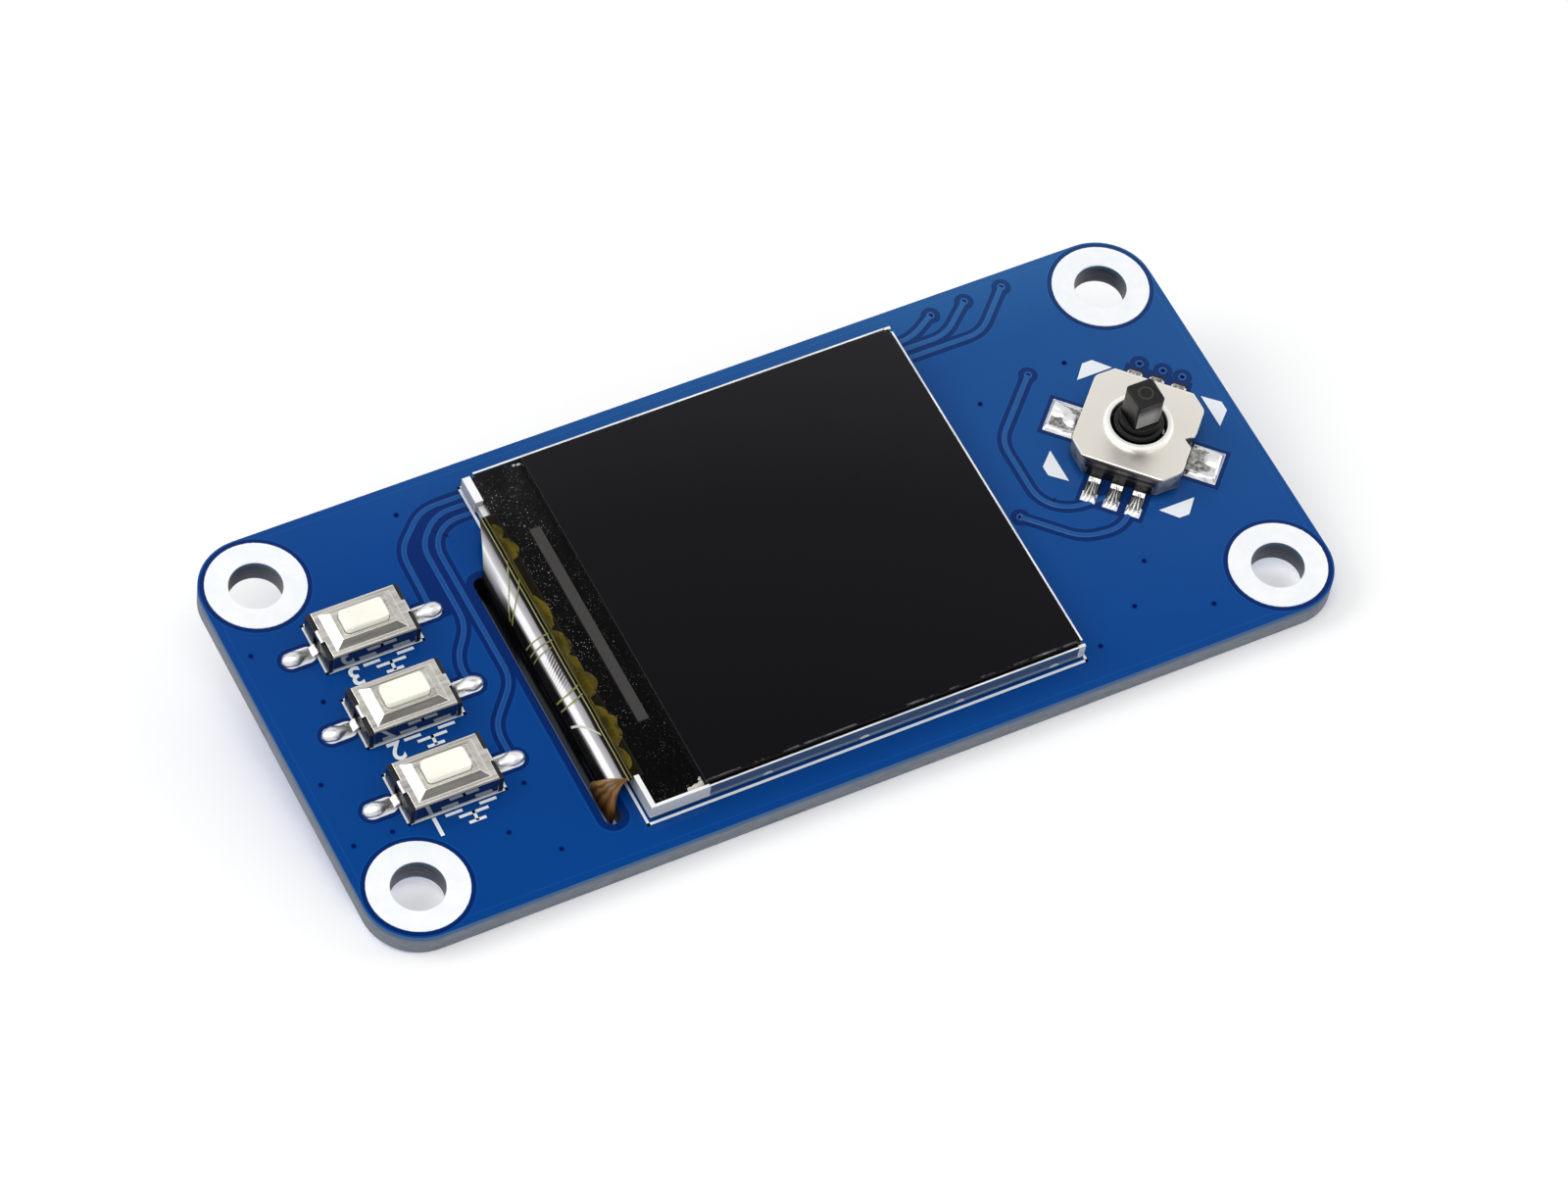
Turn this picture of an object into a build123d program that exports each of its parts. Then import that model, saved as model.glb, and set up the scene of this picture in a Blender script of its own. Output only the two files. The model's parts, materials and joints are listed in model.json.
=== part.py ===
# Small blue display board: a square colour display, three push switches and a
# five-way joystick on one circuit board, with a header socket underneath.
#
# Frame: the origin is the centre of the four mounting holes, on the board's
# underside. +X runs along the board towards the joystick, +Y towards the header
# socket, and +Z up out of the display. All sizes are in millimetres.

from build123d import *
from math import cos, radians, sin
import os

# Circuit board
board_length = 65.0
board_width = 30.0
board_thick = 1.6
board_corner_r = 3.5
hole_from_edge = 3.5
hole_r = 1.7
ring_r = 3.1
copper = 0.05
seat_gap = 0.02
solder_end_share = 0.8

# Display module, seen from above
lcd_x = 0.02
lcd_y = 0.12
lcd_length = 29.2
lcd_width = 25.9
lcd_ledge = 3.25
lcd_glass_margin = 0.1
tray_sheet = 0.12
tray_bend_r = 0.2
tray_floor_rim = 0.15
tray_corner_cut = 3.9
tray_far_cut = 0.6
tray_corner_relief = 0.45
frame_wall = 0.85
frame_led_side = 1.7
frame_lip = 0.33
frame_lip_below_top = 0.22
frame_near_lip_length = 2.45
frame_far_block_near = 2.1
frame_far_block_far = 0.15
frame_far_block_out = 0.2
snap_width = 0.62
snap_height = 0.24
snap_pitch = 6.45
snap_count = 4
snap_from_right = 2.05
snap_grip = 0.4
tape_width = 2.0
tape_from_edge = 1.5

# Display module, the thickness of each layer from the board up
tape_thick = 0.12
reflector_thick = 0.06
guide_thick = 0.45
diffuser_thick = 0.13
rear_polariser_thick = 0.12
rear_polariser_margin = 0.2
front_polariser_left = 0.1
front_polariser_margin = 0.03
front_polariser_corner_r = 0.8
array_glass_thick = 0.25
filter_glass_thick = 0.25
front_polariser_thick = 0.14
tray_wall_below_top = 0.2

# Driver chip, backlight LEDs and flex ribbon of the display
chip_length = 15.0
chip_width = 0.7
chip_thick = 0.2
chip_y = 0.42
chip_from_ledge_edge = 1.6
led_count = 3
led_pitch = 6.5
led_length = 2.4
led_width = 0.8
flex_thick = 0.1
flex_bond = 0.3
flex_near_y = -10.5
flex_far_y = 9.9
flex_tail_far_y = 6.6
flex_taper_start = 0.45
flex_bulge_r = 1.3
flex_return_r = 0.5
flex_tail_reach = 6.8
flex_finger_count = 12
flex_drop_from_slot = 0.12
glue_thick = 0.1
glue_past_flex = 0.03
glue_lobe_depth = 0.2
glue_lobes = ((8.0, 1.9), (4.4, 1.6), (0.4, 1.3), (-3.2, 1.7), (-7.3, 2.0))
flex_joint_length = 0.6
flex_joint_width = 0.6
flex_joint_edge = 0.12

# Slot that the flex ribbon goes down through
slot_width = 1.1
slot_far_clear = 0.2
slot_near_clear = 1.7
slot_from_lcd = 1.87

# Push switches, beside the middle of the strip between the board's end and the slot
key_off_middle = 0.1
key_pitch = 5.75
key_length = 6.0
key_width = 3.5
key_height = 2.5
key_cover_sheet = 0.15
key_cover_length = 5.4
key_cover_height = 1.6
key_crown_base_x = 4.65
key_crown_base_y = 2.8
key_crown_top_x = 3.55
key_crown_top_y = 2.0
key_crown_rise = 0.4
key_wall_clear = 0.3
key_plunger_x = 2.85
key_plunger_y = 1.5
key_plunger_clear = 0.06
key_plunger_corner_r = 0.28
key_plunger_edge_r = 0.14
key_flange_thick = 0.3
key_flange_grip = 0.17
key_nub_r = 0.5
key_travel = 0.25
key_floor = 0.45
key_pocket_clear = 0.15
key_end_notch = 1.0
key_end_recess = 0.2
key_tab_width = 0.9
key_tab_drop = 0.45
key_tab_grip = 0.1
key_lead_width = 0.7
key_lead_thick = 0.15
key_lead_bend_r = 0.14
key_lead_step = 0.3
key_lead_reach = 4.8
key_dome_r = 1.1
key_dome_rise = 0.16
key_dome_seat = 0.3
dome_sheet = 0.05
dome_flat_share = 0.4
key_pad_length = 2.2
key_pad_width = 1.15
key_solder_half_width = 0.5
key_solder_height = 0.45
key_solder_past_lead = 0.4

# Joystick switch, beside the middle of the strip between the display and the board's end:
# its housing is turned 45 degrees on the board
joy_off_middle = 1.64
joy_y = 0.1
joy_turn = 45.0
joy_half_u = 3.65
joy_half_v = 3.55
joy_corner_cut = 1.1
joy_corner_r = 0.6
joy_cover_sheet = 0.2
joy_cover_height = 1.95
joy_skirt_half = 2.25
joy_skirt_end = 0.95
joy_lug_at = 1.7
joy_lug_width = 0.85
joy_notch_width = 1.35
joy_notch_depth = 0.55
joy_hole_r = 1.8
joy_rim_width = 0.36
joy_rim_rise = 0.3
joy_housing_inset = 0.12
joy_cavity_r = 2.75
joy_floor = 0.38
joy_tilt_clear = 0.09
joy_pivot_z = 1.05
joy_rocker_r = 2.4
joy_rocker_hole_r = 1.9
joy_rocker_thick = 0.3
joy_collar_r = 1.58
joy_collar_neck_r = 1.36
joy_collar_above_rim = 0.1
joy_collar_flange_edge = 0.08
joy_collar_neck_edge = 0.1
joy_collar_height = 2.9
joy_stick_side = 1.85
joy_stick_corner_r = 0.25
joy_stick_edge = 0.06
joy_stick_height = 5.2
joy_stick_clear = 0.05
joy_foot_r = 1.05
joy_foot_thick = 0.17
joy_nub_r = 0.45
joy_nub_clear = 0.06
joy_travel = 0.25
joy_dome_r = 0.8
joy_side_dome_r = 0.5
joy_side_dome_at = 2.05
joy_dome_rise = 0.17
joy_lead_pitch = 1.43
joy_lead_width = 0.75
joy_lead_thick = 0.2
joy_lead_step = 0.25
joy_lead_reach = 5.1
joy_lead_inner = 2.2
joy_tab_width = 1.75
joy_tab_reach = 5.35
joy_tab_inner = 3.0
joy_tab_pad_width = 2.5
joy_pad_margin = 0.1
joy_solder_side = 0.1
joy_solder_height = 0.42
joy_solder_taper = 0.3
joy_solder_past_lead = 0.25
joy_mound_height = 0.34
joy_mound_edge = 0.2

# Header socket on the underside
socket_pitch = 2.54
socket_columns = 20
socket_width = 5.0
socket_height = 5.0
socket_standoff = 0.3
socket_end_wall = 0.95
socket_corner = 0.3
socket_foot_length = 1.0
socket_foot_inset = 0.75
socket_hole = 0.95
socket_lead_in = 0.2
contact_width = 0.5
contact_sheet = 0.15
contact_wall_gap = 0.03
contact_reach = 3.2
contact_depth = 4.0
contact_pad_start = 2.4
contact_pad_margin = 0.1
contact_solder = 0.22

# Small parts on the underside
chip_part_length = 1.6
chip_part_width = 0.8
chip_part_height = 0.45
chip_end = 0.3
chip_pad_margin = 0.05
chip_solder_height = 0.32
resistor_places = ((4.0, -9.5), (7.5, -9.5), (11.0, -9.5), (14.5, -9.5))
capacitor_places = ((4.0, -6.5), (7.5, -6.5), (14.5, -6.5))
transistor_place = (-2.0, -8.5)
transistor_length = 2.9
transistor_width = 1.3
transistor_height = 1.0
transistor_foot_gap = 0.1
transistor_edge = 0.1
transistor_lead = 0.4
transistor_lead_thick = 0.15
transistor_lead_pitch = 0.95
transistor_lead_reach = 0.75

# Places worked out from the sizes above
board_top = board_thick
hole_spacing_x = board_length - 2 * hole_from_edge
hole_spacing_y = board_width - 2 * hole_from_edge
socket_y = hole_spacing_y / 2
lcd_left = lcd_x - lcd_length / 2
lcd_right = lcd_x + lcd_length / 2
lcd_near = lcd_y - lcd_width / 2
lcd_far = lcd_y + lcd_width / 2
slot_x = lcd_left - slot_from_lcd
key_x = (slot_x - slot_width / 2 - board_length / 2) / 2 + key_off_middle
joy_x = (lcd_right + board_length / 2) / 2 + joy_off_middle
led_window_left = lcd_left + frame_led_side
tray_floor_z = tape_thick
reflector_z = tray_floor_z + tray_sheet
tray_rim_z = reflector_z + tray_floor_rim
guide_z = reflector_z + reflector_thick
diffuser_z = guide_z + guide_thick
rear_polariser_z = diffuser_z + diffuser_thick
array_glass_z = rear_polariser_z + rear_polariser_thick
filter_glass_z = array_glass_z + array_glass_thick
front_polariser_z = filter_glass_z + filter_glass_thick
lcd_top_z = front_polariser_z + front_polariser_thick
glass_left = lcd_left + frame_lip + seat_gap
glass_right = lcd_right - tray_sheet - lcd_glass_margin
glass_near = lcd_near + tray_sheet + lcd_glass_margin
glass_far = lcd_far - tray_sheet - lcd_glass_margin
filter_left = glass_left + lcd_ledge
flex_drop_x = slot_x + flex_drop_from_slot
flex_tail_end = flex_drop_x + flex_tail_reach


def block(x0, x1, y0, y1, z0, z1):
    """Box between two opposite corners."""
    middle = Pos((x0 + x1) / 2, (y0 + y1) / 2, (z0 + z1) / 2)
    return middle * Box(x1 - x0, y1 - y0, z1 - z0)


def disc(r, z0, z1, x=0.0, y=0.0):
    """Upright cylinder from z0 to z1."""
    return Pos(x, y, (z0 + z1) / 2) * Cylinder(r, z1 - z0)


def rounded_plate(x_size, y_size, corner_r, z0, z1, x=0.0, y=0.0):
    """Flat plate with rounded corners, centred on x, y."""
    return extrude(Pos(x, y, z0) * RectangleRounded(x_size, y_size, corner_r), z1 - z0)


def slot_plate(x_size, y_size, z0, z1, x=0.0, y=0.0):
    """Flat plate whose short ends are half circles; x_size is the longer side."""
    return extrude(Pos(x, y, z0) * SlotOverall(x_size, y_size), z1 - z0)


def bent_strip(points, bend_r, thick, width):
    """Sheet strip that follows points in the XZ plane, as wide in Y as width."""
    path = FilletPolyline(*points, radius=bend_r)
    section = Plane.XZ * trace(path, line_width=thick)
    return extrude(section, width / 2, both=True)


def snap_dome(r, rise, z0, x=0.0, y=0.0):
    """Shallow sprung dome of thin sheet, flat on top, that stands on its rim at z0."""
    flat_r = dome_flat_share * r
    inner_r = r - (r - flat_r) * dome_sheet / rise
    under = rise - dome_sheet
    profile = Polyline(
        (0, under), (flat_r, under), (inner_r, 0), (r, 0), (flat_r, rise), (0, rise),
        close=True,
    )
    return Pos(x, y, z0) * revolve(make_face(Plane.XZ * profile), Axis.Z)


def solder_drop(x0, x1, half_width, height, z0):
    """Long drop of solder lying along X on a pad at z0, blunt at both ends."""
    section_r = (half_width * half_width + height * height) / (2 * height)
    end_r = solder_end_share * section_r
    ridge = ThreePointArc((x0, end_r), ((x0 + x1) / 2, section_r), (x1, end_r))
    floor = Polyline((x1, end_r), (x1, 0), (x0, 0), (x0, end_r))
    drop = Pos(0, 0, z0 + height - section_r) * revolve(make_face(ridge + floor), Axis.X)
    return drop & block(x0, x1, -section_r, section_r, z0, z0 + height)


def both_sides(solid):
    """A solid and its twin, turned half a turn about Z."""
    return [solid, Rot(0, 0, 180) * solid]


def group(solids):
    """Separate solids kept together in one node."""
    return Compound(children=[solid for item in solids for solid in item.solids()])


hole_places = [
    (sign_x * hole_spacing_x / 2, sign_y * hole_spacing_y / 2)
    for sign_x in (-1, 1)
    for sign_y in (-1, 1)
]
key_places = [-key_pitch, 0.0, key_pitch]
on_board = Pos(0, 0, board_top)
joystick_place = Pos(joy_x, joy_y, board_top) * Rot(0, 0, joy_turn)


# Circuit board with its plated rings


def make_circuit_board():
    board = rounded_plate(board_length, board_width, board_corner_r, 0, board_thick)
    for x, y in hole_places:
        board -= disc(hole_r, -1, board_thick + 1, x, y)
    slot_far = flex_tail_far_y + slot_far_clear
    slot_near = flex_near_y - slot_near_clear
    middle = (slot_far + slot_near) / 2
    slot = slot_plate(slot_far - slot_near, slot_width, -1, board_thick + 1)
    return board - Pos(slot_x, middle, 0) * Rot(0, 0, 90) * slot


def make_mounting_rings():
    rings = []
    for x, y in hole_places:
        for z0 in (-copper, board_thick):
            ring = disc(ring_r, z0, z0 + copper, x, y)
            rings.append(ring - disc(hole_r, z0 - 1, z0 + 1, x, y))
    return group(rings)


# Push switch, in a frame at its centre on the board's top face

key_crown_z = key_cover_height + key_crown_rise
key_crown_inner_z = key_crown_z - key_cover_sheet
key_cover_inner_z = key_cover_height - key_cover_sheet
key_flange_top = key_crown_inner_z - key_plunger_clear
key_dome_top = key_floor + key_dome_rise
key_opening_x = key_plunger_x + 2 * key_plunger_clear
key_opening_y = key_plunger_y + 2 * key_plunger_clear
key_opening_corner_r = key_plunger_corner_r + key_plunger_clear
key_pad_start = key_length / 2 + seat_gap
key_lead_bend_x = key_length / 2 + key_lead_thick / 3


def make_key_lead():
    inner_z = key_floor - key_lead_thick / 2
    foot_z = copper + key_lead_thick / 2
    points = (
        (key_dome_r - key_dome_seat, inner_z),
        (key_lead_bend_x, inner_z),
        (key_lead_bend_x + key_lead_step, foot_z),
        (key_lead_reach, foot_z),
    )
    return bent_strip(points, key_lead_bend_r, key_lead_thick, key_lead_width)


def make_key_base():
    half_x = key_length / 2
    half_y = key_width / 2
    inner_y = half_y - key_cover_sheet - seat_gap
    cover_half = key_cover_length / 2
    base = block(-half_x, half_x, -inner_y, inner_y, 0, key_cover_inner_z - seat_gap)
    for side in (-1, 1):
        post_x = side * (half_x + cover_half + seat_gap) / 2
        post_size = half_x - cover_half - seat_gap
        post = Pos(post_x, 0, key_cover_inner_z / 2) * Box(
            post_size, key_width, key_cover_inner_z
        )
        base += post
        notch_x = side * half_x
        base -= Pos(notch_x, 0, key_cover_height) * Box(
            2 * key_end_recess, key_end_notch, 2 * key_cover_height
        )
    pocket_x = key_plunger_x + 2 * (key_flange_grip + key_pocket_clear)
    pocket_y = key_plunger_y + 2 * (key_flange_grip + key_pocket_clear)
    pocket_r = key_plunger_corner_r + key_pocket_clear
    base -= rounded_plate(pocket_x, pocket_y, pocket_r, key_floor, key_cover_height)
    for lead in both_sides(make_key_lead()):
        base -= lead
    return base


def make_key_terminals():
    return group(both_sides(make_key_lead()))


def make_key_dome():
    return snap_dome(key_dome_r, key_dome_rise, key_floor)


def make_crown(base_x, base_y, top_x, top_y, z0, z1):
    """Four-sided block from z0 to z1, narrower at the top."""
    lower = Pos(0, 0, z0) * Rectangle(base_x, base_y)
    upper = Pos(0, 0, z1) * Rectangle(top_x, top_y)
    return loft([lower, upper])


def make_key_cover():
    half_x = key_cover_length / 2
    half_y = key_width / 2
    sheet = key_cover_sheet
    inner_y = half_y - sheet
    outer = block(-half_x, half_x, -half_y, half_y, key_wall_clear, key_cover_height)
    long_edges = outer.edges().filter_by(Axis.X).group_by(Axis.Z)[-1]
    outer = fillet(long_edges, sheet)
    outer += make_crown(
        key_crown_base_x, key_crown_base_y, key_crown_top_x, key_crown_top_y,
        key_cover_height, key_crown_z,
    )
    inner = block(-half_x - 1, half_x + 1, -inner_y, inner_y, 0, key_cover_inner_z)
    inner += make_crown(
        key_crown_base_x - sheet, key_crown_base_y - sheet,
        key_crown_top_x - sheet, key_crown_top_y - sheet,
        key_cover_inner_z, key_crown_inner_z,
    )
    cover = outer - inner
    cover -= rounded_plate(
        key_opening_x, key_opening_y, key_opening_corner_r, key_cover_height, key_height
    )
    tab_x = key_length / 2 - key_end_recess + seat_gap
    tab_z = key_cover_height - sheet / 2
    tab = bent_strip(
        ((half_x - key_tab_grip, tab_z), (tab_x + sheet / 2, tab_z),
         (tab_x + sheet / 2, key_cover_height - key_tab_drop)),
        sheet * 0.6, sheet, key_tab_width,
    )
    for side in both_sides(tab):
        cover += side
    return cover


def make_key_plunger():
    bottom = key_dome_top + key_travel + seat_gap
    flange_x = key_plunger_x + 2 * key_flange_grip
    flange_y = key_plunger_y + 2 * key_flange_grip
    flange_bottom = key_flange_top - key_flange_thick
    button = rounded_plate(
        key_plunger_x, key_plunger_y, key_plunger_corner_r, flange_bottom, key_height
    )
    button = fillet(button.faces().sort_by(Axis.Z)[-1].edges(), key_plunger_edge_r)
    flange = rounded_plate(
        flange_x, flange_y, key_plunger_corner_r, flange_bottom, key_flange_top
    )
    nub = disc(key_nub_r, bottom, key_flange_top)
    return button + flange + nub


def make_key_solder():
    drop_start = key_lead_bend_x + key_lead_step + seat_gap
    drop_end = key_lead_reach + key_solder_past_lead
    drop = solder_drop(drop_start, drop_end, key_solder_half_width, key_solder_height, copper)
    return both_sides(drop - make_key_lead())


def make_key_pads():
    middle = key_pad_start + key_pad_length / 2
    return both_sides(slot_plate(key_pad_length, key_pad_width, 0, copper, middle))


# Joystick switch, in its own turned frame at its centre on the board's top face

joy_cover_inner_z = joy_cover_height - joy_cover_sheet
joy_housing_top = joy_cover_inner_z - seat_gap
joy_dome_top = joy_floor + joy_dome_rise
joy_rim_top = joy_cover_height + joy_rim_rise
joy_collar_bottom = joy_pivot_z + joy_tilt_clear
joy_collar_flange_z = joy_rim_top + joy_collar_above_rim
joy_foot_top = joy_collar_bottom - seat_gap
joy_foot_bottom = joy_foot_top - joy_foot_thick
joy_nub_bottom = joy_dome_top + joy_travel + joy_nub_clear
joy_lead_bend_u = joy_half_u + joy_lead_thick / 2
joy_drop_start = joy_lead_bend_u + joy_lead_step + joy_lead_thick / 2
joy_drop_end = joy_lead_reach + joy_solder_past_lead
joy_tab_pad_start = joy_half_v + seat_gap
joy_tab_pad_end = joy_tab_reach + joy_solder_past_lead


def cut_square(half_u, half_v, cut, z0, z1):
    """Upright plate with its four corners cut off and softly rounded."""
    outline = Rectangle(2 * half_u, 2 * half_v)
    outline = chamfer(outline.vertices(), cut)
    outline = fillet(outline.vertices(), joy_corner_r)
    return extrude(Pos(0, 0, z0) * outline, z1 - z0)


def make_joystick_lead():
    inner_z = joy_floor - joy_lead_thick / 2
    foot_z = copper + joy_lead_thick / 2
    points = (
        (joy_lead_inner, inner_z),
        (joy_lead_bend_u, inner_z),
        (joy_lead_bend_u + joy_lead_step, foot_z),
        (joy_lead_reach, foot_z),
    )
    return bent_strip(points, joy_lead_thick * 0.75, joy_lead_thick, joy_lead_width)


def make_joystick_leads():
    lead = make_joystick_lead()
    places = [row * joy_lead_pitch for row in (-1, 0, 1)]
    return [twin for v in places for twin in both_sides(Pos(0, v, 0) * lead)]


def make_anchor_tab():
    return block(
        -joy_tab_width / 2, joy_tab_width / 2, joy_tab_inner, joy_tab_reach,
        copper, copper + joy_lead_thick,
    )


def lug_places():
    """Middles of the cover's four lugs, on the outer faces without leads."""
    return [(u, v) for u in (-joy_lug_at, joy_lug_at) for v in (-joy_half_v, joy_half_v)]


def make_joystick_housing():
    half_u = joy_half_u - joy_cover_sheet - seat_gap
    half_v = joy_half_v - joy_housing_inset
    housing = cut_square(half_u, half_v, joy_corner_cut, 0, joy_housing_top)
    lug_pocket = Box(
        joy_lug_width + 2 * joy_stick_clear,
        2 * (joy_cover_sheet + seat_gap),
        2 * (joy_skirt_end + seat_gap),
    )
    for u, v in lug_places():
        housing -= Pos(u, v, joy_cover_height) * lug_pocket
    housing -= disc(joy_cavity_r, joy_floor, joy_cover_height)
    for lead in make_joystick_leads():
        housing -= lead
    for tab in both_sides(make_anchor_tab()):
        housing -= tab
    return housing


def make_joystick_cover():
    sheet = joy_cover_sheet
    skirt_z = joy_cover_height - joy_skirt_end
    cover = cut_square(joy_half_u, joy_half_v, joy_corner_cut, joy_cover_inner_z, joy_cover_height)
    skirt = block(
        joy_half_u - sheet, joy_half_u, -joy_skirt_half, joy_skirt_half,
        skirt_z, joy_cover_height,
    )
    for side in both_sides(skirt):
        cover += side
    bend_edges = cover.faces().sort_by(Axis.Z)[-1].edges().filter_by(Axis.Y)
    cover = fillet(bend_edges, sheet)
    lug = Box(joy_lug_width, 2 * sheet, joy_skirt_end)
    inside = block(
        -joy_half_u, joy_half_u, sheet - joy_half_v, joy_half_v - sheet, 0, joy_cover_inner_z
    )
    lugs_z = (skirt_z + joy_cover_height) / 2
    for u, v in lug_places():
        cover += (Pos(u, v, lugs_z) * lug - inside) & cut_square(
            joy_half_u, joy_half_v, joy_corner_cut, 0, joy_cover_height
        )
    notch = make_face(Polyline(
        (-joy_notch_width / 2, -joy_half_v - sheet),
        (0, -joy_half_v + joy_notch_depth),
        (joy_notch_width / 2, -joy_half_v - sheet),
        close=True,
    ))
    cover -= extrude(Pos(0, 0, 0) * notch, 2 * joy_cover_height)
    rim = disc(joy_hole_r + joy_rim_width, joy_cover_inner_z, joy_rim_top)
    cover += fillet(rim.edges().group_by(Axis.Z)[-1], joy_rim_rise * 0.6)
    return cover - disc(joy_hole_r, 0, joy_rim_top + 1)


def make_joystick_domes():
    domes = [snap_dome(joy_dome_r, joy_dome_rise, joy_floor)]
    for quarter in range(4):
        angle = radians(90 * quarter - joy_turn)
        domes.append(snap_dome(
            joy_side_dome_r, joy_dome_rise, joy_floor,
            joy_side_dome_at * cos(angle), joy_side_dome_at * sin(angle),
        ))
    return group(domes)


def make_joystick_rocker():
    z0 = joy_pivot_z - joy_rocker_thick / 3
    ring = disc(joy_rocker_r, z0, z0 + joy_rocker_thick)
    return ring - disc(joy_rocker_hole_r, z0 - 1, z0 + 1)


def stick_outline(side, corner_r, z0, z1):
    """Square stick with rounded corners, in line with the board."""
    return Rot(0, 0, -joy_turn) * rounded_plate(side, side, corner_r, z0, z1)


def make_joystick_collar():
    flange = disc(joy_collar_r, joy_collar_bottom, joy_collar_flange_z)
    flange = chamfer(flange.edges().group_by(Axis.Z)[-1], joy_collar_flange_edge)
    neck = disc(joy_collar_neck_r, joy_collar_flange_z, joy_collar_height)
    neck = chamfer(neck.edges().group_by(Axis.Z)[-1], joy_collar_neck_edge)
    hole_side = joy_stick_side + 2 * joy_stick_clear
    hole_corner = joy_stick_corner_r + joy_stick_clear
    return flange + neck - stick_outline(hole_side, hole_corner, 0, joy_stick_height)


def make_joystick_stick():
    stick = stick_outline(joy_stick_side, joy_stick_corner_r, joy_foot_bottom, joy_stick_height)
    stick = chamfer(stick.faces().sort_by(Axis.Z)[-1].edges(), joy_stick_edge)
    stick += disc(joy_foot_r, joy_foot_bottom, joy_foot_top)
    return stick + disc(joy_nub_r, joy_nub_bottom, joy_foot_top)


def make_joystick_pads():
    half_width = joy_lead_width / 2 + joy_pad_margin
    pad_end = joy_drop_end + joy_pad_margin
    pads = []
    for row in (-1, 0, 1):
        middle = row * joy_lead_pitch
        pads += both_sides(block(
            joy_lead_bend_u, pad_end, middle - half_width, middle + half_width, 0, copper
        ))
    tab_pad = block(
        -joy_tab_pad_width / 2, joy_tab_pad_width / 2, joy_tab_pad_start, joy_tab_pad_end, 0, copper
    )
    return pads + both_sides(tab_pad)


def make_joystick_solder():
    solids = []
    lead = make_joystick_lead()
    length = joy_drop_end - joy_drop_start
    width = joy_lead_width + 2 * joy_solder_side
    drop = Pos((joy_drop_start + joy_drop_end) / 2, 0, 0) * make_crown(
        length, width, length - joy_solder_taper, width - joy_solder_taper,
        copper, joy_solder_height,
    )
    for row in (-1, 0, 1):
        solids += both_sides(Pos(0, row * joy_lead_pitch, 0) * (drop - lead))
    half_pad = joy_tab_pad_width / 2 - joy_pad_margin / 2
    mound = block(
        -half_pad, half_pad, joy_tab_pad_start + joy_solder_side, joy_tab_pad_end - joy_pad_margin,
        copper, copper + joy_mound_height,
    )
    mound = chamfer(mound.faces().sort_by(Axis.Z)[-1].edges(), joy_mound_edge)
    solids += both_sides(mound - make_anchor_tab())
    return solids


# Display module, in the board's frame from the top face up


def make_lcd_tape():
    near = lcd_near + tape_from_edge
    far = lcd_far - tape_from_edge
    return group([
        block(lcd_left + tape_from_edge, lcd_right - tape_from_edge, y0, y1, 0, tape_thick)
        for y0, y1 in ((near, near + tape_width), (far - tape_width, far))
    ])


def snap_places():
    """The places along X of the frame's snaps, evenly spaced up to the right-hand one."""
    last = lcd_right - snap_from_right
    return [last - step * snap_pitch for step in range(snap_count)]


def make_lcd_tray():
    wall_top = lcd_top_z - tray_wall_below_top
    shell = block(lcd_left, lcd_right, lcd_near, lcd_far, tray_floor_z, wall_top)
    shell = fillet(shell.edges().group_by(Axis.Z)[0], tray_bend_r)
    inside = block(
        lcd_left - 1, lcd_right - tray_sheet, lcd_near + tray_sheet, lcd_far - tray_sheet,
        reflector_z, wall_top + 1,
    )
    tray = shell - inside
    above = lcd_top_z + 1
    left = lcd_left - 1
    near_cut = lcd_left + tray_corner_cut
    far_cut = lcd_left + tray_far_cut
    tray -= block(left, near_cut, lcd_near - 1, lcd_near + tray_sheet, tray_rim_z, above)
    tray -= block(left, far_cut, lcd_far - tray_sheet, lcd_far + 1, tray_rim_z, above)
    relief = tray_corner_relief
    for y in (lcd_near, lcd_far):
        tray -= block(lcd_right - relief, lcd_right + 1, y - relief, y + relief, tray_rim_z, above)
    for x in snap_places():
        tray -= make_snap_window(x)
    return tray


def make_snap_window(x, shrink=0.0):
    """Half-round window through both long walls, with its flat edge low."""
    face = Ellipse(snap_width / 2 - shrink, snap_height - shrink)
    window = extrude(Plane.XZ.offset(-lcd_far - 1) * Pos(x, tray_rim_z, 0) * face, lcd_width + 2)
    low = tray_rim_z + shrink
    return window & block(x - 1, x + 1, lcd_near - 1, lcd_far + 1, low, lcd_top_z)


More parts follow.
